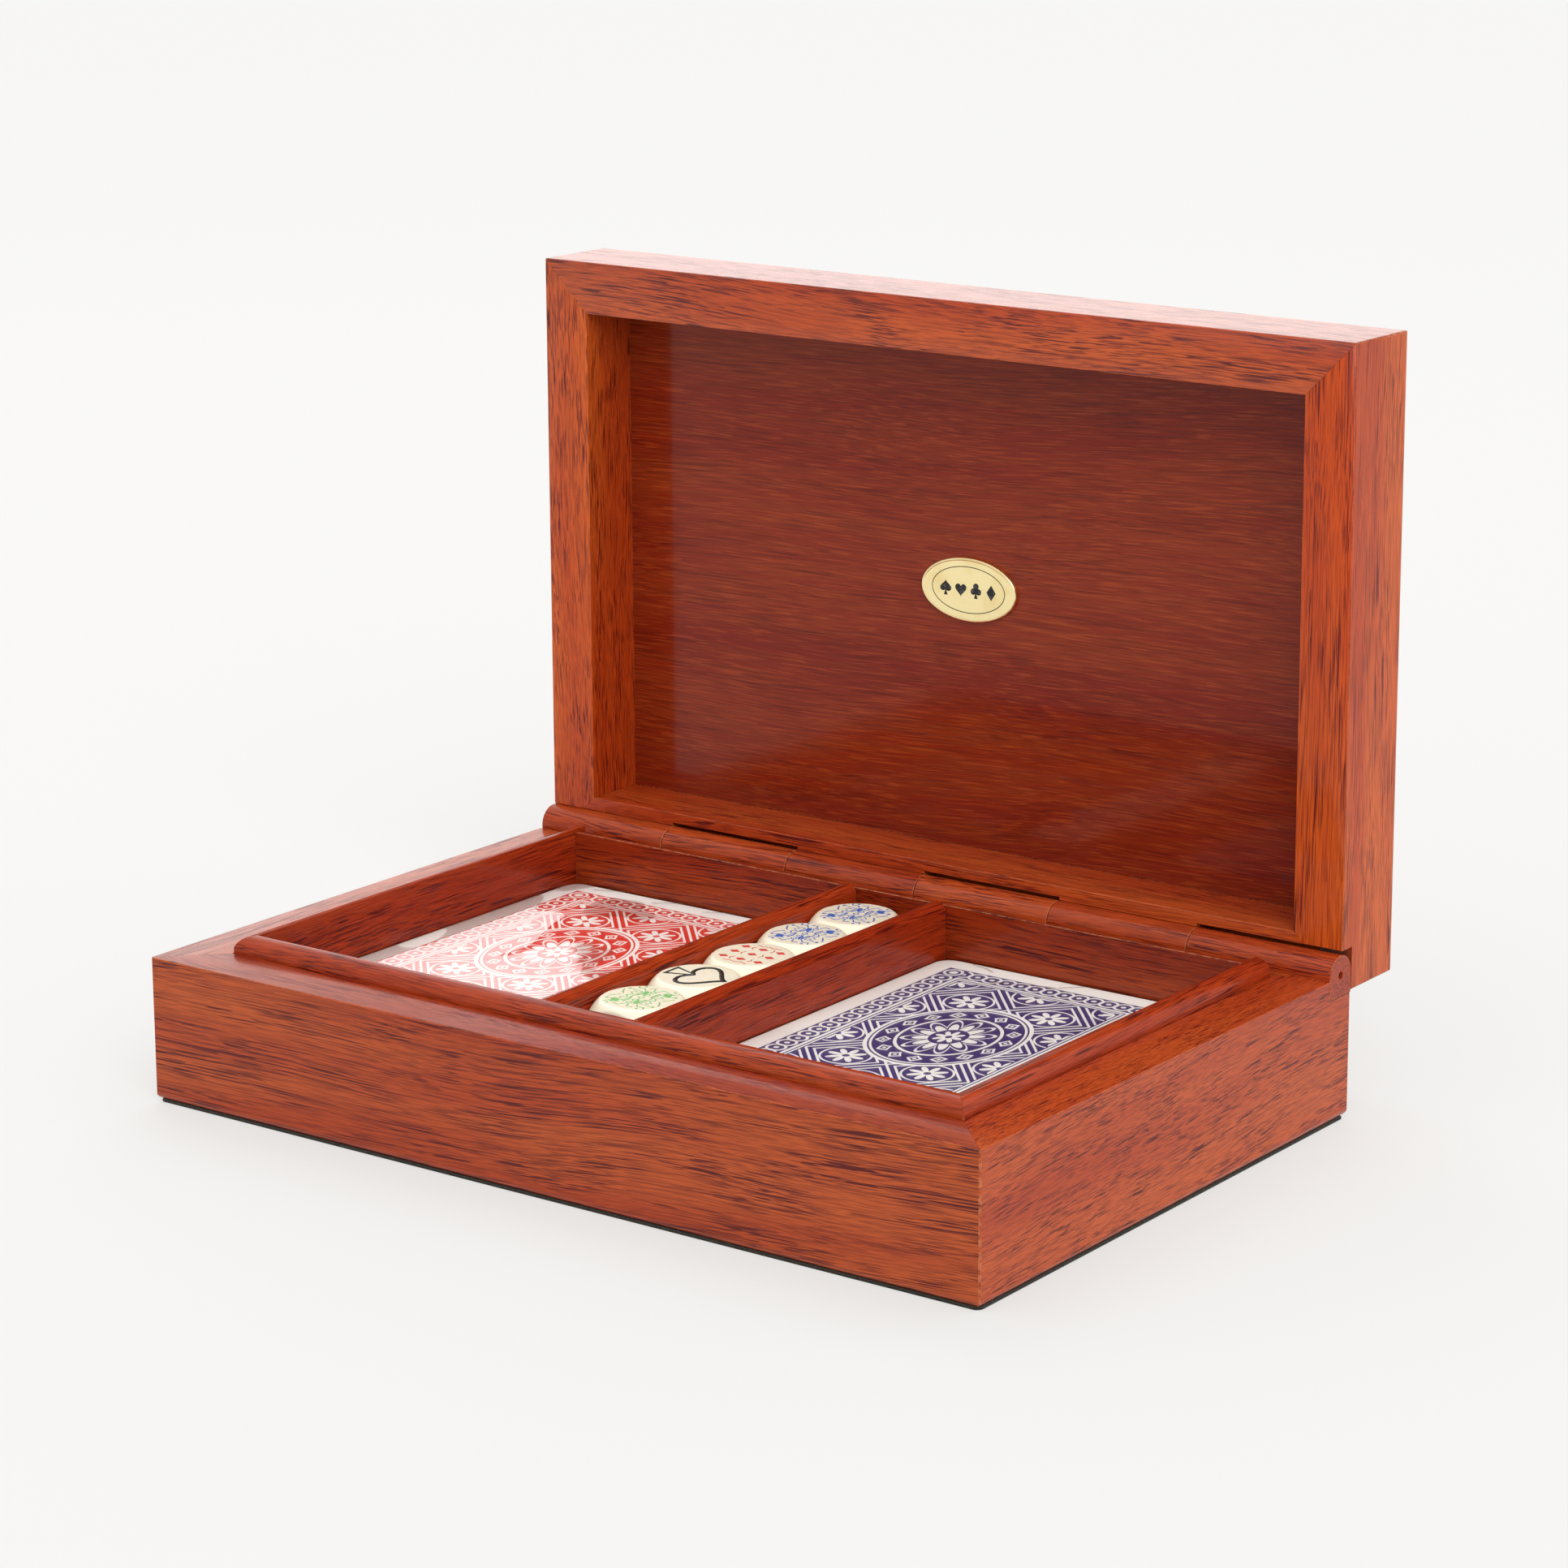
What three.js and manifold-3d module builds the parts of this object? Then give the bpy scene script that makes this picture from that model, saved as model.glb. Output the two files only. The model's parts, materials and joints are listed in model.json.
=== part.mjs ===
// A wooden box for two packs of playing cards and a row of dice, standing open.
// Mitred rails and a raised lip make the base, and the lid turns on a knuckle hinge of wood along the back.
// Lengths are in millimetres. +Z is up, the front faces -Y, and the origin is the middle of the underside.

import * as THREE from "three";
import { mergeVertices } from "three/addons/utils/BufferGeometryUtils.js";
import Module from "manifold-3d";

// Heights of the two halves, and the rounding of their outer edges
const baseHeight = 30.5;
const lidHeight = 21.5;
const edgeRounding = 1.8;

// Rails, floor and felt of the base
const baseRailThickness = 11.8;
const floorThickness = 4.5;
const feltThickness = 0.5;
const feltInset = 0.5;
const feltCornerRadius = 1.5;

// Lip strips that line the wells and register the lid
const lipThickness = 3.7;
const lipRise = 3.55;
const backLipRise = 2.9;
const lipRounding = 3.3;
const lipClearance = 0.3;

// Wells and channel, with the room for fingertips beside and in front of a pack, and for the dice to run in
const wellRoomBeside = 10.15;
const wellRoomInFront = 13.6;
const channelRoomBeside = 1.2;
const dividerThickness = 4.1;
const diceBedHeight = 9.7;

// Inside of the lid
const lidCavityDepth = 15.05;
const plateLength = 24.5;
const plateWidth = 14;
const plateThickness = 1;
const plateBevel = 0.5;
const plateShiftRight = 1.3;
const plateShiftForward = 2;

// Hinge
const hingeRadius = 4.2;
const knuckleCount = 6;
const knuckleGap = 0.2;
const pinRadius = 0.77;
const pinClearance = 0.08;
const pinRecess = 0.6;
const pinAboveBaseRim = 0.4;
const pinBelowLidRim = 0.4;
const baseSocketClearance = 0.4;
const lidSocketClearance = 0.7;
const stopGap = 0.3;
const lidOpenAngle = 90;

// Packs of cards
const cardWidth = 63;
const cardLength = 88;
const cardCornerRadius = 3.5;
const packHeight = 17.1;
const wrapThickness = 0.1;
const wrapSlack = 0.2;
const wrapSeamWidth = 1.5;
const packSideGap = 0.1;
const packRearGap = 0.7;

// Dice
const dieSize = 18;
const dieBallRadius = 12.2;
const dieGap = 0.1;
const dieRearGap = 4.5;

// Line of glue between two pieces that are fixed together, and the gap under a piece that only rests
const glueLine = 0.05;
const restGap = 0.1;

// How far a cut runs past the face that it opens
const overrun = 2;

// Straight segments in an arc of a profile, and round a turned shape
const profileSegments = 6;
const knuckleSegments = 24;
const plateSegments = 64;
const dieSegments = 24;

// The wells and the channel are made to fit what they hold, and the box fits round them: 206 x 133.3 outside
const wrapMargin = wrapSlack + wrapThickness;
const wellWidth = cardWidth + 2 * wrapMargin + wellRoomBeside;
const wellLength = cardLength + 2 * wrapMargin + wellRoomInFront;
const channelWidth = dieSize + channelRoomBeside;
const wallThickness = baseRailThickness + glueLine + lipThickness;
const boxWidth = 2 * (wallThickness + wellWidth + dividerThickness) + channelWidth;
const boxDepth = 2 * wallThickness + wellLength;

// Places that follow from the sizes, those of the lid with the lid closed
const halfWidth = boxWidth / 2;
const halfDepth = boxDepth / 2;
const rimZ = feltThickness + baseHeight;
const floorZ = feltThickness + floorThickness;
const lipOuterX = halfWidth - baseRailThickness - glueLine;
const lipOuterY = halfDepth - baseRailThickness - glueLine;
const wellOuterX = lipOuterX - lipThickness;
const wellEndY = lipOuterY - lipThickness;
const stripBottomZ = floorZ + glueLine;
const lipTopZ = rimZ + lipRise;
const dividerLength = 2 * (wellEndY - glueLine);
const diceBedTopZ = stripBottomZ + diceBedHeight;
const pinY = halfDepth - hingeRadius;
const pinZ = rimZ + pinAboveBaseRim;
const boreRadius = pinRadius + pinClearance;
const baseSocketFloorZ = pinZ - hingeRadius - baseSocketClearance;
const lidRimZ = pinZ + pinBelowLidRim;
const lidRailThickness = baseRailThickness - lipClearance;
const lidPanelZ = lidRimZ + lidCavityDepth;
const lidSocketCeilingZ = pinZ + hingeRadius + stopGap;

const up = new THREE.Vector3(0, 0, 1);

// The four sides of the box: the direction inwards, how far the outer face lies from the middle, and
// half the length along the side
const sides = {
  front: { inward: new THREE.Vector3(0, 1, 0), outer: halfDepth, reach: halfWidth },
  back: { inward: new THREE.Vector3(0, -1, 0), outer: halfDepth, reach: halfWidth },
  left: { inward: new THREE.Vector3(1, 0, 0), outer: halfWidth, reach: halfDepth },
  right: { inward: new THREE.Vector3(-1, 0, 0), outer: halfWidth, reach: halfDepth },
};

const wasm = await Module();
wasm.setup();

// Materials

function mahogany(color) {
  return new THREE.MeshStandardMaterial({ color, roughness: 0.38, metalness: 0 });
}

function railWood() {
  return mahogany(0xa4482a);
}

function lipWood() {
  return mahogany(0x963619);
}

function panelWood() {
  return mahogany(0x7a2a16);
}

function floorWood() {
  return mahogany(0x8a3a20);
}

function knuckleWood() {
  return mahogany(0x9c3d20);
}

function felt() {
  return new THREE.MeshStandardMaterial({ color: 0x2f3420, roughness: 1, metalness: 0 });
}

function steel() {
  return new THREE.MeshStandardMaterial({ color: 0x6d6a66, roughness: 0.4, metalness: 1 });
}

function brass() {
  return new THREE.MeshStandardMaterial({ color: 0xe6c15c, roughness: 0.25, metalness: 1 });
}

function cardStock(color) {
  return new THREE.MeshStandardMaterial({ color, roughness: 0.5, metalness: 0 });
}

function clearFilm() {
  const look = { color: 0xf4f4f0, roughness: 0.1, metalness: 0, transparent: true, opacity: 0.25 };
  return new THREE.MeshStandardMaterial(look);
}

function ivory() {
  return new THREE.MeshStandardMaterial({ color: 0xf1ead4, roughness: 0.3, metalness: 0 });
}

// Solids

function toSolid(geometry) {
  const bare = geometry.clone();
  bare.deleteAttribute("normal");
  bare.deleteAttribute("uv");
  const merged = mergeVertices(bare);
  const vertProperties = merged.attributes.position.array;
  const triVerts = new Uint32Array(merged.index.array);
  return new wasm.Manifold(new wasm.Mesh({ numProp: 3, vertProperties, triVerts }));
}

function toGeometry(solid) {
  const mesh = solid.getMesh();
  const geometry = new THREE.BufferGeometry();
  geometry.setAttribute("position", new THREE.BufferAttribute(mesh.vertProperties, mesh.numProp));
  geometry.setIndex(new THREE.BufferAttribute(mesh.triVerts, 1));
  return geometry;
}

function cut(geometry, tools) {
  const joined = tools.map(toSolid).reduce((solid, tool) => solid.add(tool));
  return toGeometry(toSolid(geometry).subtract(joined));
}

// A box between two corners.
function block(low, high) {
  const size = new THREE.Vector3().subVectors(high, low);
  const middle = new THREE.Vector3().addVectors(low, high).multiplyScalar(0.5);
  return new THREE.BoxGeometry(...size).translate(...middle);
}

// An upright plate with rounded corners, centred on the axis and standing on its base.
function roundedBlock(width, length, height, radius) {
  const x = width / 2 - radius;
  const y = length / 2 - radius;
  const outline = new THREE.Shape();
  outline.absarc(x, y, radius, 0, Math.PI / 2);
  outline.absarc(-x, y, radius, Math.PI / 2, Math.PI);
  outline.absarc(-x, -y, radius, Math.PI, Math.PI * 1.5);
  outline.absarc(x, -y, radius, Math.PI * 1.5, Math.PI * 2);
  const options = { depth: height, bevelEnabled: false, curveSegments: profileSegments };
  return new THREE.ExtrudeGeometry(outline, options);
}

// A bar along one side of the box, from one place along it to another. Its profile is drawn as distance in
// from its outer face and height above its base. A mitred end draws back as the profile goes in.
function bar(profile, { inward, outer, base, from, to, mitred = [false, false] }) {
  const length = to - from;
  const options = { depth: length, bevelEnabled: false, curveSegments: profileSegments };
  const geometry = new THREE.ExtrudeGeometry(profile, options);
  const position = geometry.attributes.position;
  for (let i = 0; i < position.count; i += 1) {
    const atStart = position.getZ(i) < length / 2;
    const isMitred = atStart ? mitred[0] : mitred[1];
    const drawnBack = isMitred ? position.getX(i) + glueLine / 2 : 0;
    position.setZ(i, position.getZ(i) + (atStart ? drawnBack : -drawnBack));
  }
  const along = new THREE.Vector3().crossVectors(inward, up);
  const start = new THREE.Vector3().addScaledVector(inward, -outer).addScaledVector(along, from);
  start.addScaledVector(up, base);
  return geometry.applyMatrix4(new THREE.Matrix4().makeBasis(inward, up, along).setPosition(start));
}

// A section with its lower outer edge rounded.
function roundedBelow(thickness, height, rounding) {
  const section = new THREE.Shape();
  section.moveTo(rounding, 0);
  section.lineTo(thickness, 0);
  section.lineTo(thickness, height);
  section.lineTo(0, height);
  section.absarc(rounding, rounding, rounding, Math.PI, Math.PI * 1.5);
  return section;
}

// A section with its upper outer edge rounded.
function roundedAbove(thickness, height, rounding) {
  const section = new THREE.Shape();
  section.moveTo(0, 0);
  section.lineTo(thickness, 0);
  section.lineTo(thickness, height);
  section.absarc(rounding, height - rounding, rounding, Math.PI / 2, Math.PI);
  return section;
}

// Swings what is drawn with the lid closed about the hinge pin, to where it stands with the lid open.
function swungOpen(geometry) {
  geometry.translate(0, -pinY, -pinZ);
  geometry.rotateX(THREE.MathUtils.degToRad(-lidOpenAngle));
  return geometry.translate(0, pinY, pinZ);
}

// Hinge: knuckles of equal length take turns, the lid's first from the left

const knuckleLength = boxWidth / knuckleCount;
const knuckles = Array.from({ length: knuckleCount }, (_, index) => ({
  half: index % 2 === 0 ? "lid" : "base",
  isFirst: index === 0,
  isLast: index === knuckleCount - 1,
  startX: -halfWidth + index * knuckleLength,
  endX: -halfWidth + (index + 1) * knuckleLength,
}));

// Room in the rails along the hinge, from one height to another. It fits the knuckles of its own half,
// and is deeper along each knuckle of the other half, which it clears.
function sockets(clearedHalf, clearance, lowZ, highZ) {
  const room = (startX, endX, depth) => block(
    new THREE.Vector3(startX, pinY - depth, lowZ),
    new THREE.Vector3(endX, halfDepth + overrun, highZ),
  );
  const whole = room(-halfWidth - overrun, halfWidth + overrun, hingeRadius + glueLine);
  const deeper = knuckles.filter((each) => each.half === clearedHalf).map((each) => {
    const startX = each.startX - (each.isFirst ? overrun : knuckleGap / 2);
    const endX = each.endX + (each.isLast ? overrun : knuckleGap / 2);
    return room(startX, endX, hingeRadius + clearance);
  });
  return [whole, ...deeper];
}

function baseSockets() {
  return sockets("lid", baseSocketClearance, baseSocketFloorZ, rimZ + overrun);
}

function lidSockets() {
  return sockets("base", lidSocketClearance, lidRimZ - overrun, lidSocketCeilingZ);
}

// A knuckle of the base: round above the pin, with straight sides down to where it is glued.
// The lid's knuckle is the same, turned so that it is glued at the back.
function knuckle(each) {
  const drop = each.half === "lid" ? stopGap : baseSocketClearance;
  const foot = hingeRadius + drop - glueLine;
  const section = new THREE.Shape();
  section.moveTo(-hingeRadius, -foot);
  section.lineTo(hingeRadius, -foot);
  section.absarc(0, 0, hingeRadius, 0, Math.PI);
  section.closePath();
  section.holes.push(new THREE.Path().absarc(0, 0, boreRadius, 0, Math.PI * 2));
  const startX = each.startX + (each.isFirst ? 0 : knuckleGap / 2);
  const endX = each.endX - (each.isLast ? 0 : knuckleGap / 2);
  const options = { depth: endX - startX, bevelEnabled: false, curveSegments: knuckleSegments };
  const geometry = new THREE.ExtrudeGeometry(section, options);
  const intoLength = new THREE.Vector3(1, 0, 0);
  geometry.applyMatrix4(new THREE.Matrix4().makeBasis(sides.front.inward, up, intoLength));
  if (each.half === "lid") geometry.rotateX(Math.PI / 2);
  return geometry.translate(startX, pinY, pinZ);
}

function hingePin() {
  const length = boxWidth - 2 * pinRecess;
  const pin = new THREE.CylinderGeometry(pinRadius, pinRadius, length, knuckleSegments);
  return pin.rotateZ(Math.PI / 2).translate(0, pinY, pinZ);
}

// Base

function baseRail(side) {
  const profile = roundedBelow(baseRailThickness, baseHeight, edgeRounding);
  const { inward, outer, reach } = sides[side];
  const rail = bar(profile, { inward, outer, base: feltThickness, from: -reach, to: reach, mitred: [true, true] });
  return side === "front" ? rail : cut(rail, baseSockets());
}

function floorPanel() {
  return block(
    new THREE.Vector3(-lipOuterX, -lipOuterY, feltThickness),
    new THREE.Vector3(lipOuterX, lipOuterY, floorZ),
  );
}

function feltPad() {
  const width = boxWidth - 2 * feltInset;
  const length = boxDepth - 2 * feltInset;
  return roundedBlock(width, length, feltThickness - glueLine, feltCornerRadius);
}

// Strips round the wells. Those at the front and the sides meet in mitres at the front corners.
function frontLip() {
  const profile = roundedAbove(lipThickness, lipTopZ - stripBottomZ, lipRounding);
  const { inward } = sides.front;
  const reach = { from: -lipOuterX, to: lipOuterX, mitred: [true, true] };
  return bar(profile, { inward, outer: lipOuterY, base: stripBottomZ, ...reach });
}

function sideLip(side) {
  const profile = roundedAbove(lipThickness, lipTopZ - stripBottomZ, lipRounding);
  const { inward } = sides[side];
  const reach = { from: -lipOuterY, to: lipOuterY, mitred: [side === "right", side === "left"] };
  return bar(profile, { inward, outer: lipOuterX, base: stripBottomZ, ...reach });
}

function backLip() {
  const profile = roundedAbove(lipThickness, rimZ + backLipRise - stripBottomZ, lipRounding);
  const { inward } = sides.back;
  const end = wellOuterX - glueLine;
  return bar(profile, { inward, outer: lipOuterY, base: stripBottomZ, from: -end, to: end });
}

// A wall between the channel and a well, rounded over along its top.
function divider(side) {
  const radius = dividerThickness / 2;
  const shoulder = lipTopZ - stripBottomZ - radius;
  const section = new THREE.Shape();
  section.moveTo(0, 0);
  section.lineTo(dividerThickness, 0);
  section.absarc(radius, shoulder, radius, 0, Math.PI);
  const { inward } = sides[side];
  const outer = channelWidth / 2 + dividerThickness;
  return bar(section, { inward, outer, base: stripBottomZ, from: -dividerLength / 2, to: dividerLength / 2 });
}

// The raised bed that the dice stand on.
function diceBed() {
  const x = channelWidth / 2 - glueLine;
  return block(
    new THREE.Vector3(-x, -dividerLength / 2, stripBottomZ),
    new THREE.Vector3(x, dividerLength / 2, diceBedTopZ),
  );
}

// Lid

function lidRail(side) {
  const profile = roundedAbove(lidRailThickness, lidHeight, edgeRounding);
  const { inward, outer, reach } = sides[side];
  const rail = bar(profile, { inward, outer, base: lidRimZ, from: -reach, to: reach, mitred: [true, true] });
  return swungOpen(side === "front" ? rail : cut(rail, lidSockets()));
}

function lidPanel() {
  const x = halfWidth - lidRailThickness - glueLine;
  const y = halfDepth - lidRailThickness - glueLine;
  return swungOpen(block(new THREE.Vector3(-x, -y, lidPanelZ), new THREE.Vector3(x, y, lidRimZ + lidHeight)));
}

// An oval plate on the inside of the panel, with its free edge bevelled.
function lidPlate() {
  const radius = plateLength / 2;
  const outline = [
    new THREE.Vector2(0, 0),
    new THREE.Vector2(radius - plateBevel, 0),
    new THREE.Vector2(radius, plateBevel),
    new THREE.Vector2(radius, plateThickness),
    new THREE.Vector2(0, plateThickness),
  ];
  const plate = new THREE.LatheGeometry(outline, plateSegments);
  plate.rotateX(Math.PI / 2);
  plate.scale(1, plateWidth / plateLength, 1);
  plate.translate(plateShiftRight, -plateShiftForward, lidPanelZ - glueLine - plateThickness);
  return swungOpen(plate);
}

// Contents

// A pack of cards in its clear wrap. It stands in a well against the well's left wall and near its back.
const packCentreY = wellEndY - packRearGap - wrapMargin - cardLength / 2;
const packBottomZ = floorZ + restGap + wrapMargin;

function cardStack() {
  return roundedBlock(cardWidth, cardLength, packHeight, cardCornerRadius);
}

// The wrap is a thin shell round the stack, open along a seam in its underside.
function cardWrap() {
  const shell = (margin) => {
    const width = cardWidth + 2 * margin;
    const length = cardLength + 2 * margin;
    const height = packHeight + 2 * margin;
    return roundedBlock(width, length, height, cardCornerRadius + margin).translate(0, 0, -margin);
  };
  const seam = block(
    new THREE.Vector3(-wrapSeamWidth / 2, -cardLength / 2, -wrapMargin - overrun),
    new THREE.Vector3(wrapSeamWidth / 2, cardLength / 2, 0),
  );
  return cut(shell(wrapMargin), [shell(wrapSlack), seam]);
}

function packOfCards(colorName, color, wellLeftX) {
  const pack = new THREE.Group();
  pack.add(piece(`${colorName}_deck_cards`, cardStack(), cardStock(color)));
  pack.add(piece(`${colorName}_deck_wrap`, cardWrap(), clearFilm()));
  pack.position.set(wellLeftX + packSideGap + wrapMargin + cardWidth / 2, packCentreY, packBottomZ);
  return pack;
}

// A cube whose corners are turned off by a ball.
function die() {
  const cube = toSolid(new THREE.BoxGeometry(dieSize, dieSize, dieSize));
  const ball = toSolid(new THREE.SphereGeometry(dieBallRadius, dieSegments, dieSegments / 2));
  return toGeometry(cube.intersect(ball));
}

// As many dice as the channel holds in one row, from its back to its front.
function rowOfDice() {
  const row = new THREE.Group();
  const diePitch = dieSize + dieGap;
  const dieCount = Math.floor((wellLength - dieRearGap) / diePitch);
  const rearDieY = wellEndY - dieRearGap - dieSize / 2;
  for (let index = 0; index < dieCount; index += 1) {
    const mesh = piece(`die_${index + 1}`, die(), ivory());
    mesh.position.set(0, rearDieY - index * diePitch, diceBedTopZ + restGap + dieSize / 2);
    row.add(mesh);
  }
  return row;
}

// Assembly

function piece(name, geometry, material) {
  const mesh = new THREE.Mesh(geometry, material);
  mesh.name = name;
  return mesh;
}

function baseGroup() {
  const group = new THREE.Group();
  for (const side of Object.keys(sides)) group.add(piece(`base_rail_${side}`, baseRail(side), railWood()));
  group.add(piece("floor_panel", floorPanel(), floorWood()));
  group.add(piece("felt_pad", feltPad(), felt()));
  group.add(piece("lip_front", frontLip(), lipWood()));
  group.add(piece("lip_back", backLip(), lipWood()));
  for (const side of ["left", "right"]) {
    group.add(piece(`lip_${side}`, sideLip(side), lipWood()));
    group.add(piece(`divider_${side}`, divider(side), lipWood()));
  }
  group.add(piece("dice_bed", diceBed(), floorWood()));
  return group;
}

function hingeGroup() {
  const group = new THREE.Group();
  knuckles.forEach((each, index) => {
    const name = `${each.half}_knuckle_${Math.floor(index / 2) + 1}`;
    group.add(piece(name, knuckle(each), knuckleWood()));
  });
  group.add(piece("hinge_pin", hingePin(), steel()));
  return group;
}

function lidGroup() {
  const group = new THREE.Group();
  for (const side of Object.keys(sides)) group.add(piece(`lid_rail_${side}`, lidRail(side), railWood()));
  group.add(piece("lid_panel", lidPanel(), panelWood()));
  group.add(piece("lid_plate", lidPlate(), brass()));
  return group;
}

const cardBox = new THREE.Group();
cardBox.add(baseGroup(), hingeGroup(), lidGroup(), rowOfDice());
cardBox.add(packOfCards("red", 0xc23c34, -wellOuterX));
cardBox.add(packOfCards("blue", 0x3b3270, channelWidth / 2 + dividerThickness));

export default cardBox;
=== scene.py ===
"""Looks of a wooden playing card box: mahogany, felt, brass, printed cards in clear film, and dice.

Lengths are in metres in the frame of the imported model: +Z up, the front at -Y, the lid standing open.
"""

import json
import math
import random
from contextlib import contextmanager
from typing import NamedTuple

import bmesh
import bpy
from bpy.props import FloatProperty, FloatVectorProperty, PointerProperty
from mathutils import Euler, Matrix, Vector, noise


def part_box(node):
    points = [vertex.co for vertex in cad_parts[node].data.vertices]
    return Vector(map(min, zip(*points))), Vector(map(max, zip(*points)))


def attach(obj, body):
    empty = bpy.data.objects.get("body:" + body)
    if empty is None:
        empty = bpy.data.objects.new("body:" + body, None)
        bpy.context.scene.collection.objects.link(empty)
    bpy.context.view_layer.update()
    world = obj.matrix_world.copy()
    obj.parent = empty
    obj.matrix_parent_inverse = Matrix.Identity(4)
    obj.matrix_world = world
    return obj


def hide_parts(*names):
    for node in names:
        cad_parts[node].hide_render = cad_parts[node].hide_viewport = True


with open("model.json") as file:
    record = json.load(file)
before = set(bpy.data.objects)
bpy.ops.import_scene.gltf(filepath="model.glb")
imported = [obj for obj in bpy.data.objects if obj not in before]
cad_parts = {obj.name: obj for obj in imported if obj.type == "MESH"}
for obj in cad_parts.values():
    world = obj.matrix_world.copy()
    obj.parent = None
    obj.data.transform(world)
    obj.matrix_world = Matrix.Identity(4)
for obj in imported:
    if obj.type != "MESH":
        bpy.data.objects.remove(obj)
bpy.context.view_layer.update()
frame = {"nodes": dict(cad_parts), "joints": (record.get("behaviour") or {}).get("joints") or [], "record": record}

bl_info = {
    "name": "Playing Card Box",
    "version": (1, 0, 0),
    "blender": (4, 5, 0),
    "location": "3D View > Sidebar > Card Box",
    "description": "Finishes a wooden box for two packs of cards and a row of dice",
    "category": "Object",
}

MM = 0.001
X, Y, Z = range(3)
SIDES = ("front", "back", "left", "right")
KNUCKLES = (1, 2, 3)

# How near two points are that count as one, and how flat, how square and how sharp is enough
MERGE = 0.001 * MM
FLAT = math.radians(0.5)
SQUARE = 0.999
SHARP = math.radians(40)


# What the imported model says


def row(rows, key, name):
    """The row of one of the frame's tables that has a name under a key."""
    for found in rows:
        if found[key] == name:
            return found
    raise ValueError(f"the frame has no {key} {name}")


def slot_color(slot):
    return row(frame["record"]["materials"], "slot", slot)["base_color"][:3]


def body_of(node):
    for body, members in frame["record"]["behaviour"]["bodies"].items():
        if node in members:
            return body
    raise ValueError(f"no body holds {node}")


# Sizes and colours that a user may change


def length(name, description, default):
    return FloatProperty(
        name=name,
        description=description,
        default=default,
        min=0,
        max=50 * MM,
        subtype="DISTANCE",
        unit="LENGTH",
    )


def color(name, description, default):
    return FloatVectorProperty(
        name=name, description=description, default=default, size=3, min=0, max=1, subtype="COLOR_GAMMA"
    )


def strength(name, description, default, highest):
    return FloatProperty(name=name, description=description, default=default, min=0, max=highest)


class CardBoxWood(bpy.types.PropertyGroup):
    """The mahogany and how its edges are eased."""

    rail_ease: length("Rail edges", "How far the sharp edges of the rails are eased", 0.3 * MM)
    lip_ease: length("Lip edges", "How far the sharp edges of the lip and the dividers are eased", 0.18 * MM)
    knuckle_ease: length("Knuckle edges", "How far the ends of the hinge's knuckles are eased", 0.15 * MM)
    light: color("Light wood", "Colour of the wood between its pores", (0.74, 0.335, 0.14))
    dark: color("Dark wood", "Colour of the darker bands", (0.67, 0.245, 0.09))
    pore: color("Pores", "Colour of the short dark pores", (0.345, 0.07, 0.05))
    # Pale colour of the eased edges: worn lacquer, and a painted highlight along the edges
    wear_and_highlight: color("Worn edge", "Colour where the lacquer has rubbed off an edge", (0.87, 0.6, 0.42))
    gloss: FloatProperty(
        name="Gloss",
        description="How strong the coat of lacquer shines",
        default=0.2,
        min=0,
        max=1,
        subtype="FACTOR",
    )


class CardBoxCards(bpy.types.PropertyGroup):
    """The packs of cards and their clear film."""

    border: length("Border", "White border round the printed back", 4.8 * MM)
    line: length("Line", "Width of the thin printed lines", 0.48 * MM)
    red: color("Red back", "Printing colour of the red pack", (0.86, 0.21, 0.15))
    blue: color("Blue back", "Printing colour of the blue pack", slot_color("blue_cards"))
    paper: color("Paper", "Colour of the card stock", (1.0, 0.99, 0.97))
    leaf: length("Leaf", "Height of one card in the stack", 0.3 * MM)


class CardBoxDice(bpy.types.PropertyGroup):
    """The dice and the figures on them."""

    ball: length("Ball", "Radius of the ball that turns off the corners", 12.2 * MM)
    stroke: length("Stroke", "Half the width of a drawn line", 0.16 * MM)
    ivory: color("Ivory", "Colour of the dice", (0.985, 0.965, 0.885))
    blue: color("Blue ink", "Ink of the blue figures", (0.16, 0.38, 0.74))
    green: color("Green ink", "Ink of the green figures", (0.47, 0.74, 0.42))
    red: color("Red ink", "Ink of the red pips", (0.83, 0.27, 0.24))
    black: color("Black ink", "Ink of the spades and of the plate", (0.05, 0.045, 0.05))
    navy: color("Navy ink", "Ink of the clubs", (0.1, 0.15, 0.32))


class CardBoxMetal(bpy.types.PropertyGroup):
    """The brass plate and the hinge pin."""

    brass: color("Brass", "Colour of the oval plate", (0.99, 0.92, 0.7))
    steel: color("Steel", "Colour of the hinge pin", slot_color("steel"))
    rim: length("Rim", "Width of the plate's bevelled rim", 0.55 * MM)


class CardBoxStage(bpy.types.PropertyGroup):
    """The light and the floor."""

    key: strength("Key light", "Strength of the soft key light", 1.2, 20)
    overhead: strength("Overhead", "Extra light from above", 0.55, 20)
    window: strength("Window", "Power of the lamp above the box", 1.3, 100)
    sky: strength("Sky", "Strength of the light from all round", 0.74, 10)
    back: strength("Back wall", "Extra light low behind the box", 1.0, 10)
    floor: color("Floor", "Colour of the floor", (0.93, 0.93, 0.925))


SETTINGS = {
    "card_box_wood": CardBoxWood,
    "card_box_cards": CardBoxCards,
    "card_box_dice": CardBoxDice,
    "card_box_metal": CardBoxMetal,
    "card_box_stage": CardBoxStage,
}


# Modelling

SMOOTH = math.radians(50)


def select_only(piece, others=()):
    bpy.ops.object.select_all(action="DESELECT")
    for chosen in (piece, *others):
        chosen.select_set(True)
    bpy.context.view_layer.objects.active = piece


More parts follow.
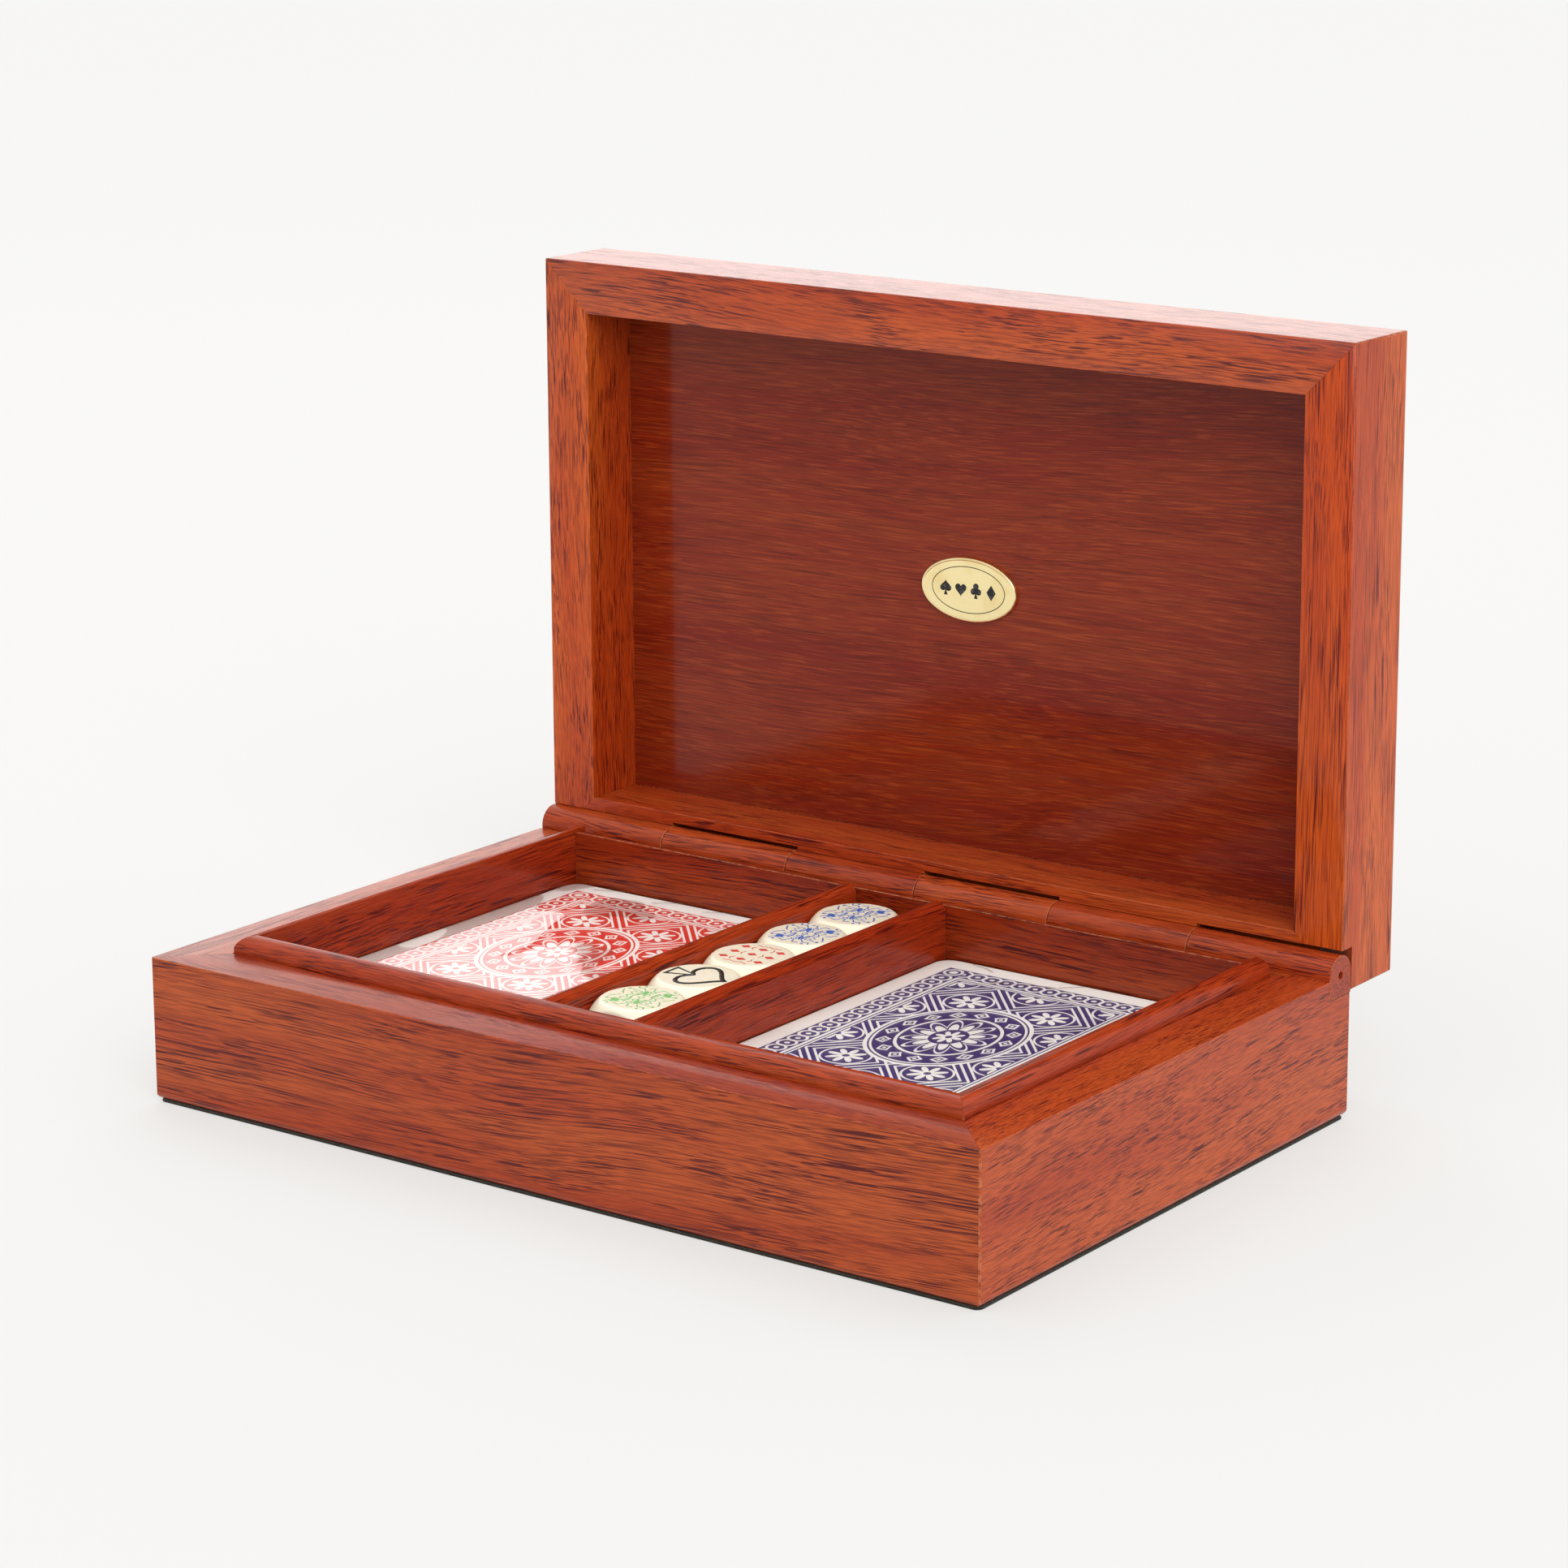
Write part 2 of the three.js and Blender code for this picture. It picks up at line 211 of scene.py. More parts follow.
@contextmanager
def editing(piece, parts="FACE", wanted=None):
    """Edit mode on one piece, with the wanted faces or edges selected, or all of them."""
    select_only(piece)
    bpy.ops.object.mode_set(mode="EDIT")
    bpy.ops.mesh.select_mode(type=parts)
    bpy.ops.mesh.select_all(action="DESELECT" if wanted else "SELECT")
    if wanted:
        mesh = bmesh.from_edit_mesh(piece.data)
        for part in mesh.edges if parts == "EDGE" else mesh.faces:
            part.select_set(wanted(part))
        bmesh.update_edit_mesh(piece.data)
    yield
    bpy.ops.object.mode_set(mode="OBJECT")


def apply_modifier(piece, kind, **settings):
    select_only(piece)
    bpy.ops.object.modifier_add(type=kind)
    modifier = piece.modifiers[-1]
    for name, value in settings.items():
        setattr(modifier, name, value)
    bpy.ops.object.modifier_apply(modifier=modifier.name)


def new_piece(name):
    """Names the primitive that was just added, and puts its place into its mesh."""
    piece = bpy.context.active_object
    piece.name = name
    piece.data.name = name
    select_only(piece)
    bpy.ops.object.transform_apply(location=True, rotation=True, scale=True)
    return piece


def join(piece, others):
    select_only(piece, others)
    bpy.ops.object.join()


def stands_for(piece, node):
    """The piece rides where the node does, and is shown in its place."""
    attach(piece, body_of(node))
    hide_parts(node)


def rounded_slab(name, low, high, radius, segments):
    """A slab with its upright corners rounded."""
    size = high - low
    bpy.ops.mesh.primitive_cube_add(size=1, location=(low + high) / 2, scale=size)
    slab = new_piece(name)

    def is_upright(edge):
        first, second = edge.verts
        return abs(first.co.z - second.co.z) > size.z / 2

    with editing(slab, "EDGE", is_upright):
        bpy.ops.mesh.bevel(offset=radius, segments=segments)
    return slab


def copy_of(node):
    """A merged copy of a node's mesh, with its flat faces in one part each."""
    piece = bpy.data.objects.new(f"{node}_finished", frame["nodes"][node].data.copy())
    bpy.context.scene.collection.objects.link(piece)
    with editing(piece):
        bpy.ops.mesh.remove_doubles(threshold=MERGE)
        bpy.ops.mesh.dissolve_limited(angle_limit=FLAT)
    return piece


def cut_off(piece, point, outward):
    """Cuts off what lies past a plane, and closes the cut."""
    with editing(piece):
        bpy.ops.mesh.bisect(
            plane_co=point, plane_no=outward, use_fill=True, clear_outer=True, threshold=MERGE
        )


def is_square(face):
    """True for a face square to one of the axes."""
    return max(map(abs, face.normal)) > SQUARE


def frame_corners(names, across, up):
    """The four outer corners of a mitred frame, each with the way that it points."""
    boxes = [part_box(name) for name in names]
    low = [min(box[0][axis] for box in boxes) for axis in (X, Y, Z)]
    high = [max(box[1][axis] for box in boxes) for axis in (X, Y, Z)]
    corners = []
    for first in (-1, 1):
        for second in (-1, 1):
            point = Vector([(a + b) / 2 for a, b in zip(low, high)])
            outward = Vector((0, 0, 0))
            point[across] = high[across] if first > 0 else low[across]
            point[up] = high[up] if second > 0 else low[up]
            outward[across] = first
            outward[up] = second
            corners.append((point, outward.normalized()))
    return corners


def ease_edges(piece, width, wanted, wear_and_highlight, corner_ways, corner_wear_and_highlight):
    """Bevels the outside edges that are wanted, and marks how pale each new face and each cut corner is painted,
    for worn lacquer and a painted highlight.
    """
    mesh = bmesh.new()
    mesh.from_mesh(piece.data)
    mesh.normal_update()
    weight = mesh.edges.layers.float.new("bevel_weight_edge")
    for edge in mesh.edges:
        if len(edge.link_faces) == 2 and edge.is_convex and edge.calc_face_angle() > SHARP and wanted(edge):
            edge[weight] = 1
    mesh.to_mesh(piece.data)
    mesh.free()
    piece.data.materials.clear()
    piece.data.materials.append(None)
    piece.data.materials.append(None)
    apply_modifier(piece, "BEVEL", width=width, segments=2, limit_method="WEIGHT", material=1)
    marks = piece.data.attributes.new("wear_and_highlight", "FLOAT", "FACE")
    for face in piece.data.polygons:
        if face.material_index == 1:
            marks.data[face.index].value = wear_and_highlight(face) if callable(wear_and_highlight) else wear_and_highlight
        elif any(face.normal.dot(way) > SQUARE for way in corner_ways):
            marks.data[face.index].value = corner_wear_and_highlight
        face.material_index = 0
    piece.data.materials.clear()
    soften(piece)


def soften(piece):
    """Smooth shading that leaves large flat faces flat."""
    select_only(piece)
    bpy.ops.object.shade_smooth_by_angle(angle=SMOOTH)
    apply_modifier(piece, "WEIGHTED_NORMAL", keep_sharp=True)


# Finishes


class Number:
    """A number in a shader, so that a pattern can be written as a sum."""

    def __init__(self, shader, socket):
        self.shader = shader
        self.socket = socket

    def math(self, operation, *others):
        inputs = dict(enumerate((self, *others)))
        node = self.shader.node("Math", inputs, operation=operation)
        return Number(self.shader, node.outputs[0])

    def __add__(self, other):
        return self.math("ADD", other)

    def __sub__(self, other):
        return self.math("SUBTRACT", other)

    def __mul__(self, other):
        return self.math("MULTIPLY", other)

    def __truediv__(self, other):
        return self.math("DIVIDE", other)

    def __abs__(self):
        return self.math("ABSOLUTE")

    def below(self, limit):
        return self.math("LESS_THAN", limit)

    def above(self, limit):
        return self.math("GREATER_THAN", limit)

    def least(self, other):
        return self.math("MINIMUM", other)

    def most(self, *others):
        """The highest of this number and the others."""
        highest = self
        for other in others:
            highest = highest.math("MAXIMUM", other)
        return highest

    def rise(self, start, end):
        """0 up to start, 1 from end on, and a smooth rise between them."""
        inputs = {"Value": self, "From Min": start, "From Max": end}
        node = self.shader.node("MapRange", inputs, interpolation_type="SMOOTHSTEP")
        return Number(self.shader, node.outputs[0])


class Shader:
    """The nodes of a material or of the sky, built up one by one."""

    def __init__(self, owner, coordinates):
        owner.use_nodes = True
        self.tree = owner.node_tree
        self.tree.nodes.clear()
        self.place = self.node("TexCoord").outputs[coordinates]

    def node(self, kind, inputs=None, **settings):
        node = self.tree.nodes.new(f"ShaderNode{kind}")
        for name, value in settings.items():
            setattr(node, name, value)
        for name, value in (inputs or {}).items():
            value = value.socket if isinstance(value, Number) else value
            if isinstance(value, bpy.types.NodeSocket):
                self.tree.links.new(value, node.inputs[name])
            else:
                node.inputs[name].default_value = value
        return node

    def number(self, socket):
        return Number(self, socket)

    def stretched(self, vector, scale):
        return self.node("VectorMath", {0: vector, 1: scale}, operation="MULTIPLY").outputs[0]

    def moved(self, vector, offset):
        return self.node("VectorMath", {0: vector, 1: offset}, operation="ADD").outputs[0]

    def dot(self, vector, way):
        node = self.node("VectorMath", {0: vector, 1: way}, operation="DOT_PRODUCT")
        return self.number(node.outputs["Value"])


class Finish(Shader):
    """A material of the object."""

    def __init__(self, name):
        self.material = bpy.data.materials.new(name)
        super().__init__(self.material, "Object")

    def noise(self, waves, detail, roughness=0.5, place=None):
        """Noise with so many waves a metre, all round or along each axis."""
        scale = waves if isinstance(waves, tuple) else (waves, waves, waves)
        vector = self.stretched(self.place if place is None else place, scale)
        inputs = {"Vector": vector, "Scale": 1.0, "Detail": detail, "Roughness": roughness}
        return self.node("TexNoise", inputs)

    def cloud(self, waves, detail=2.0, roughness=0.5, place=None):
        return self.number(self.noise(waves, detail, roughness, place).outputs[0])

    def mix(self, factor, first, second):
        return self.node("Mix", {0: factor, 6: first, 7: second}, data_type="RGBA").outputs[2]

    def bump(self, height, distance, share=1.0):
        inputs = {"Height": height, "Distance": distance, "Strength": share}
        return self.node("Bump", inputs).outputs[0]

    def attribute(self, name):
        return self.number(self.node("Attribute", attribute_name=name).outputs["Fac"])

    def shine(self, ground, roughness, normal=None, others=None):
        """Ends the material in a Principled shader, and returns the material."""
        inputs = {"Base Color": ground, "Roughness": roughness, **(others or {})}
        if normal is not None:
            inputs["Normal"] = normal
        return self.finished(self.node("BsdfPrincipled", inputs).outputs[0])

    def finished(self, shader):
        self.node("OutputMaterial", {"Surface": shader})
        return self.material


def rgb(gamma_color):
    """A colour as it looks on screen, made into one that a shader takes."""
    linear = [c / 12.92 if c <= 0.04045 else ((c + 0.055) / 1.055) ** 2.4 for c in gamma_color]
    return (*linear, 1.0)


def tinted(gamma_color, tint):
    return rgb([min(1.0, c * t) for c, t in zip(gamma_color, tint)])


class Wood(NamedTuple):
    """How the wood of a piece looks: the axis of its grain, its tint, the slope of the grain, the length of
    its pores in millimetres, how many more it has and how much finer they are, and its kind of lacquer."""

    grain: str
    tint: tuple
    slope: float = 0.0
    pore_length: float = 12.0
    more_pores: float = 0.0
    fine: float = 1.0
    kind: str = "satin"


WOODS = {
    "base_rail_front": Wood("X", (0.965, 0.95, 0.95), 0.045, 14.0, 0.045, 1.6),
    "base_rail_back": Wood("X", (0.98, 0.97, 0.97), -0.02, 14.0, 0.03, 1.6),
    "base_rail_left": Wood("Y", (0.98, 0.97, 0.97), 0.02, 14.0, 0.03, 1.6),
    "base_rail_right": Wood("Y", (1.02, 0.98, 0.98), 0.03, 6.0, -0.01, 2.0),
    "lid_rail_front": Wood("X", (1.0, 0.96, 0.88), -0.02, 9.0, 0.03, 1.8, "glossy"),
    "lid_rail_back": Wood("X", (1.02, 0.98, 0.95), 0.02, 12.0, 0.0, 1.5),
    "lid_rail_left": Wood("Z", (1.09, 1.1, 0.92), 0.02, 7.0, 0.0, 2.1),
    "lid_rail_right": Wood("Z", (1.1, 1.1, 0.86), -0.01, 14.0, 0.0, 2.1),
    "lid_panel": Wood("X", (0.74, 0.59, 0.54), 0.03, 18.0, 0.0, 1.6, "board"),
    "lip_front": Wood("X", (0.95, 0.86, 0.8), 0.01, 10.0, 0.01, 1.7),
    "lip_back": Wood("X", (0.84, 0.72, 0.66), 0.01, 12.0, 0.01, 1.7),
    "lip_left": Wood("Y", (0.93, 0.76, 0.7), 0.01, 11.0, 0.01, 1.7),
    "lip_right": Wood("Y", (0.93, 0.76, 0.7), 0.01, 11.0, 0.01, 1.7),
    "divider_left": Wood("Y", (0.92, 0.72, 0.64), 0.01, 12.0, 0.01, 1.7),
    "divider_right": Wood("Y", (0.92, 0.72, 0.64), 0.01, 12.0, 0.01, 1.7),
    "floor_panel": Wood("X", (0.86, 0.8, 0.76)),
    "dice_bed": Wood("Y", (0.86, 0.8, 0.76)),
}
for number in KNUCKLES:
    WOODS[f"lid_knuckle_{number}"] = Wood("X", (0.96, 0.88, 0.84), 0.01, 11.0, 0.0, 1.7)
    WOODS[f"base_knuckle_{number}"] = Wood("X", (0.98, 0.9, 0.86), 0.01, 11.0, 0.0, 1.7)

# Each kind of lacquer, with its specular level and its share of the coat
LACQUERS = {"satin": (0.16, 1.0), "board": (0.16, 0.6), "glossy": (0.32, 1.6)}

# Turns that bring the grain of a piece onto X, and how far the grain strays from straight
GRAIN_TURN = {"X": (0, 0, 0), "Y": (0, 0, -math.pi / 2), "Z": (0, math.pi / 2, 0)}
GRAIN_STRAY = 9 * MM


def along_grain(finish, name, wood):
    """Places in a piece, turned so that its grain runs along X, and moved to a part of the log of its own."""
    dice = random.Random(name)
    turn = Matrix.Rotation(wood.slope, 3, "Y") @ Euler(GRAIN_TURN[wood.grain]).to_matrix()
    offset = [dice.uniform(0, 3) for _ in range(3)]
    inputs = {"Vector": finish.place, "Rotation": turn.to_euler(), "Location": offset}
    straight = finish.node("Mapping", inputs).outputs[0]
    drift = finish.noise((8, 22, 22), 1.0, place=straight).outputs["Color"]
    centred = finish.moved(drift, (-0.5, -0.5, -0.5))
    return finish.moved(straight, finish.stretched(centred, (0, GRAIN_STRAY, GRAIN_STRAY)))


def mahogany(name, wood):
    """Lacquered mahogany. The pores, the bands and the figure run right through a piece, so an end shows end
    grain. A board has figure and a smoother lacquer."""
    colors = bpy.context.scene.card_box_wood
    is_board = wood.kind == "board"
    finish = Finish(name)
    place = along_grain(finish, name, wood)

    def threads(lengthwise, across, detail=0.0):
        """Noise drawn out along the grain: so many waves in a pore's length, and so many a metre across."""
        return finish.cloud((lengthwise / (wood.pore_length * MM), across, across), detail, place=place)

    cluster = threads(0.5, 300, 2.0).rise(0.36, 0.6)
    lines = threads(0.5, 3700).rise(0.45, 0.54)
    dashes = (threads(1, 1300 * wood.fine, 2.0) + wood.more_pores).rise(0.49, 0.57)
    thin = threads(1.5, 4400).rise(0.5, 0.64)
    pores = (lines * dashes * (cluster * 0.65 + 0.35)).most(thin * (cluster * 0.3 + 0.3))
    streaks = threads(2.2, 6500, 1.0)
    bands = finish.cloud((5, 60, 60), place=place).rise(0.36, 0.66)

    ground = finish.mix(bands, tinted(colors.light, wood.tint), tinted(colors.dark, wood.tint))
    ground = finish.mix((streaks - 0.4) * 0.8, ground, tinted(colors.pore, wood.tint))
    if is_board:
        ribbon = finish.cloud((22, 420, 420), 3.0, place=place).rise(0.42, 0.6)
        ground = finish.mix(ribbon * 0.35, ground, tinted(colors.pore, (1.4, 1.2, 1.1)))
        flecks = threads(2, 3400).rise(0.58, 0.68)
        ground = finish.mix(flecks * 0.25, ground, rgb(colors.light))
    ground = finish.mix(pores * (0.5 if is_board else 1.0), ground, tinted(colors.pore, wood.tint))
    # Painted shade on the marked faces: the top of the front rim is darkened for the dark lid that it mirrors
    ground = finish.mix(finish.attribute("painted_shade"), ground, tinted(colors.pore, (1.35, 0.9, 0.5)))
    # The eased edges and cut corners are painted pale: worn lacquer, and a painted highlight along them
    chips = finish.cloud(900).rise(0.42, 0.6)
    ground = finish.mix(finish.attribute("wear_and_highlight") * (chips * 0.8 + 0.2), ground, rgb(colors.wear_and_highlight))

    polish = 2.0 if is_board else 1.0
    specular, coat = LACQUERS[wood.kind]
    lacquer = {
        "Specular IOR Level": specular,
        "Coat Weight": colors.gloss * coat,
        "Coat Roughness": 0.07 / polish,
        "Coat Normal": finish.bump(finish.cloud(55, 1.0), 0.1 * MM, 0.5),
    }
    roughness = (pores * 0.14 + streaks * 0.1) / polish + 0.2 / polish
    return finish.shine(ground, roughness, finish.bump(pores * -1 + streaks * 0.3, 0.02 * MM, 0.4), lacquer)


def felt_finish():
    finish = Finish("felt_pile")
    fibre = finish.cloud(2500, 3.0, 0.7)
    felt = slot_color("felt")
    lit = fibre.rise(0.35, 0.65)
    ground = finish.mix(lit, tinted(felt, (0.5, 0.4, 0.42)), tinted(felt, (1.2, 0.95, 0.95)))
    ground = finish.mix(finish.cloud(120) * 0.4, ground, tinted(felt, (0.6, 0.5, 0.52)))
    sheen = {"Specular IOR Level": 0.1, "Sheen Weight": 0.2}
    return finish.shine(ground, 1.0, finish.bump(fibre, 0.25 * MM), sheen)


def steel_finish():
    finish = Finish("pin_steel")
    drawn = finish.cloud((400, 9000, 9000))
    ground = finish.mix(drawn, rgb(bpy.context.scene.card_box_metal.steel), rgb((0.2, 0.17, 0.15)))
    return finish.shine(ground, drawn * 0.3 + 0.3, finish.bump(drawn, 0.02 * MM), {"Metallic": 1.0})


def brass_finish():
    finish = Finish("plate_brass")
    brushed = finish.cloud((260, 900, 9000), 3.0)
    tarnish = finish.cloud(180, 3.0).rise(0.45, 0.75)
    brass = bpy.context.scene.card_box_metal.brass
    ground = finish.mix(tarnish * 0.5, rgb(brass), tinted(brass, (0.93, 0.86, 0.7)))
    relief = finish.bump(brushed, 0.01 * MM, 0.4)
    return finish.shine(ground, brushed * 0.12 + 0.16, relief, {"Metallic": 1.0})


def ivory_finish():
    finish = Finish("dice_ivory")
    scuffs = finish.cloud(900, 4.0)
    ivory = bpy.context.scene.card_box_dice.ivory
    ground = finish.mix(finish.cloud(160, 3.0) * 0.7, rgb(ivory), tinted(ivory, (0.98, 0.96, 0.9)))
    polish = {"Coat Weight": 0.2, "Coat Roughness": 0.08}
    depth = {"Subsurface Weight": 0.12, "Subsurface Scale": 1.5 * MM}
    return finish.shine(ground, scuffs * 0.14 + 0.22, finish.bump(scuffs, 0.01 * MM, 0.4), polish | depth)


def ink_finish(name, ink):
    finish = Finish(name)
    cover = finish.cloud(1800, 3.0)
    ground = finish.mix(cover.rise(0.5, 0.8) * 0.35, rgb(ink), rgb([0.6 + 0.4 * c for c in ink]))
    return finish.shine(ground, cover * 0.2 + 0.35, finish.bump(cover, 0.01 * MM))


# Wooden pieces

BOARD_EASE = 0.1 * MM

# How dark the painted shade on the top of the front rim is, standing in for the dark lid that it mirrors, and how
# pale the eased edges are painted, for worn lacquer and a painted highlight
RIM_PAINTED_SHADE = 0.4
WEAR_AND_HIGHLIGHT = 0.3
RAIL_WEAR_AND_HIGHLIGHT = 0.1
PANEL_WEAR_AND_HIGHLIGHT = 0.5
LIP_WEAR_AND_HIGHLIGHT = 0.35
# The mitred corners of the lip are painted palest, for a pale glue line and a painted highlight
LIP_CORNER_GLUE_AND_HIGHLIGHT = 1.0
# A painted highlight on the bevels at the rear ends of the lip's sides, and how far back these start
LIP_END_PAINTED_HIGHLIGHT = 0.9
LIP_END = 50 * MM

# Edges up to this height, and up to this far from the hinge's axis, stay sharp
FELT_LINE = 1 * MM
BORE = 1.2 * MM

# How far a face at a mitre may lean from upright
LEAN = 0.01


def wooden(node, ease, wanted=lambda edge: True, wear_and_highlight=WEAR_AND_HIGHLIGHT, corners=(), corner_wear_and_highlight=WEAR_AND_HIGHLIGHT):
    """Finishes a node's shape in wood: corners of its joints first, then the other edges."""
    material = mahogany(f"{node}_wood", WOODS[node])
    piece = copy_of(node)
    for corner, outward in corners:
        cut_off(piece, corner - outward * ease, outward)
    ease_edges(piece, ease, wanted, wear_and_highlight, [outward for _, outward in corners], corner_wear_and_highlight)
    piece.data.materials.append(material)
    stands_for(piece, node)
    return piece


def paint_top_shade(piece, amount):
    """Marks the faces that look up with painted shade, which stands in for the dark reflection on the top of the
    front rim.
    """
    marks = piece.data.attributes.new("painted_shade", "FLOAT", "FACE")
    for face in piece.data.polygons:
        if face.normal.z > SQUARE:
            marks.data[face.index].value = amount


class CARDBOX_OT_rails(bpy.types.Operator):
    """Finish the mitred rails of the base and of the lid"""

    bl_idname = "card_box.rails"
    bl_label = "Rails"

    def execute(self, context):
        ease = context.scene.card_box_wood.rail_ease
        for half, up in (("base", Y), ("lid", Z)):
            names = [f"{half}_rail_{side}" for side in SIDES]
            corners = frame_corners(names, X, up)
            for name in names:
                rail = wooden(name, ease, self.wanted, RAIL_WEAR_AND_HIGHLIGHT, corners)
                # The top of the front rim gets painted shade
                if name == "base_rail_front":
                    paint_top_shade(rail, RIM_PAINTED_SHADE)
        return {"FINISHED"}

    @staticmethod
    def wanted(edge):
        """The edges that meet the felt stay sharp, and so do those at a mitre."""
        return all(map(is_square, edge.link_faces)) and max(vert.co.z for vert in edge.verts) > FELT_LINE


class CARDBOX_OT_lip(bpy.types.Operator):
    """Finish the lip round the wells, and the dividers"""

    bl_idname = "card_box.lip"
    bl_label = "Lip and dividers"

    def execute(self, context):
        ease = context.scene.card_box_wood.lip_ease
        lips = [f"lip_{side}" for side in SIDES]
        corners = frame_corners(lips, X, Y)
        for name in lips:
            wear_and_highlight = self.painted_highlight_at_back if name in ("lip_left", "lip_right") else LIP_WEAR_AND_HIGHLIGHT
            wooden(name, ease, self.is_off_mitre, wear_and_highlight, corners, LIP_CORNER_GLUE_AND_HIGHLIGHT)
        for name in ("divider_left", "divider_right"):
            wooden(name, ease, wear_and_highlight=LIP_WEAR_AND_HIGHLIGHT)
        return {"FINISHED"}

    @staticmethod
    def is_off_mitre(edge):
        return not any(abs(face.normal.z) < LEAN and not is_square(face) for face in edge.link_faces)

    @staticmethod
    def painted_highlight_at_back(face):
        """The bevels at the rear ends of the sides of the lip get a painted highlight; their other edges get worn
        lacquer and a painted highlight.
        """
        return LIP_END_PAINTED_HIGHLIGHT if face.center.y > LIP_END else LIP_WEAR_AND_HIGHLIGHT


class CARDBOX_OT_floors(bpy.types.Operator):
    """Finish the floor under the packs and the bed under the dice"""

    bl_idname = "card_box.floors"
    bl_label = "Floor and dice bed"

    def execute(self, context):
        wooden("floor_panel", BOARD_EASE)
        wooden("dice_bed", BOARD_EASE)
        return {"FINISHED"}


class CARDBOX_OT_hinge(bpy.types.Operator):
    """Finish the knuckles and the pin of the hinge"""

    bl_idname = "card_box.hinge"
    bl_label = "Hinge"

    def execute(self, context):
        ease = context.scene.card_box_wood.knuckle_ease
        joint = Vector(row(frame["joints"], "name", "lid_hinge")["pos_m"])

        def is_off_bore(edge):
            middle = (edge.verts[0].co + edge.verts[1].co) / 2 - joint
            return math.hypot(middle.y, middle.z) > BORE

        for half in ("lid", "base"):
            for number in KNUCKLES:
                wooden(f"{half}_knuckle_{number}", ease, is_off_bore)
        pin = frame["nodes"]["hinge_pin"]
        pin.data.materials.clear()
        pin.data.materials.append(steel_finish())
        return {"FINISHED"}


class CARDBOX_OT_panel(bpy.types.Operator):
    """Finish the panel of the lid"""

    bl_idname = "card_box.panel"
    bl_label = "Lid panel"

    def execute(self, context):
        wooden("lid_panel", BOARD_EASE, wear_and_highlight=PANEL_WEAR_AND_HIGHLIGHT)
        return {"FINISHED"}


# Felt

FELT_CORNER = 1.5 * MM
FELT_EDGE = 0.12 * MM


class CARDBOX_OT_felt(bpy.types.Operator):
    """Lay the felt under the base"""

    bl_idname = "card_box.felt"
    bl_label = "Felt"

    def execute(self, context):
        low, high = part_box("felt_pad")
        felt = rounded_slab("felt_sheet", low, high, FELT_CORNER, 8)
        with editing(felt, "EDGE"):
            bpy.ops.mesh.bevel(offset=FELT_EDGE, segments=2)
        felt.data.materials.append(felt_finish())
        soften(felt)
        stands_for(felt, "felt_pad")
        return {"FINISHED"}


# Figures drawn in ink: suits, crowns and borders, in shares of half the face that they stand on

INK_HEIGHT_SHARE = 0.3


def circle(x, y, radius, turns=14, start=0.0, end=360.0):
    """Points round a circle, or along part of one."""
    angles = [math.radians(start + (end - start) * step / turns) for step in range(turns)]
    return [(x + radius * math.cos(a), y + radius * math.sin(a)) for a in angles]


def heart(gap=0.0, turns=36):
    """The outline of a heart, point down, from one side of a gap at its notch round to the other."""
    points = []
    for step in range(turns + 1):
        t = gap + (2 * math.pi - 2 * gap) * step / turns
        across = math.sin(t) ** 3
        along = (13 * math.cos(t) - 5 * math.cos(2 * t) - 2 * math.cos(3 * t) - math.cos(4 * t)) / 16
        points.append((across, along))
    return points


class Drawing:
    """Ink on a flat face: lines and filled spots, laid out in shares of half the face."""

    def __init__(self, centre, right, up, half, ink, stroke):
        turn = Matrix((right, up, right.cross(up))).transposed().to_4x4()
        self.place = Matrix.Translation(centre) @ turn @ Matrix.Diagonal((1, 1, INK_HEIGHT_SHARE, 1))
        self.half = half
        self.ink = ink
        self.stroke = stroke
        self.lines = []
        self.spots = []

    def line(self, points, closed=False, weight=1.0):
        self.lines.append((points, closed, weight))

    def spot(self, points):
        """A filled outline."""
        self.spots.append((points, True, 1.0))

    def solids(self):
        """Makes the lines and the spots into flat solids, half sunk in the face."""
        drawn = ((self.lines, False), (self.spots, True))
        return [self.solid(outlines, is_filled) for outlines, is_filled in drawn if outlines]

    def solid(self, outlines, is_filled):
        bpy.ops.curve.primitive_bezier_curve_add(location=(0, 0, 0))
        curve = bpy.context.active_object.data
        curve.splines.clear()
        for points, closed, weight in outlines:
            spline = curve.splines.new("POLY")
            spline.points.add(len(points) - 1)
            for target, (x, y) in zip(spline.points, points):
                target.co = (x * self.half, y * self.half, 0, 1)
                target.radius = weight
            spline.use_cyclic_u = closed
        if is_filled:
            curve.dimensions = "2D"
            curve.fill_mode = "BOTH"
            curve.extrude = self.stroke
        else:
            curve.bevel_depth = self.stroke
            curve.bevel_resolution = 1
            curve.use_fill_caps = True
        select_only(bpy.context.active_object)
        bpy.ops.object.convert(target="MESH")
        drawn = bpy.context.active_object
        drawn.matrix_world = self.place
        bpy.ops.object.transform_apply(location=True, rotation=True, scale=True)
        drawn.data.materials.clear()
        drawn.data.materials.append(self.ink)
        return drawn


def draw_suit(drawing, kind, x, y, size):
    """A filled pip of one of the four suits."""
    foot = [(-0.28, -1), (0.28, -1)]
    if kind == "diamond":
        outline = [(0, -1), (0.7, 0), (0, 1), (-0.7, 0)]
    elif kind == "heart":
        outline = [(0.85 * across, 0.9 * along) for across, along in heart()]
    elif kind == "spade":
        outline = [(0.85 * across, 0.1 - 0.8 * along) for across, along in heart(0.25)] + foot
    else:
        outline = foot[1:]
        for angle in (-30, 90, 210):
            turn = math.radians(angle)
            centre = (0.45 * math.cos(turn), 0.12 + 0.45 * math.sin(turn))
            outline += circle(*centre, 0.42, 10, angle - 130, angle + 130)
        outline += foot[:1]
    drawing.spot([(x + size * a, y + size * b) for a, b in outline])


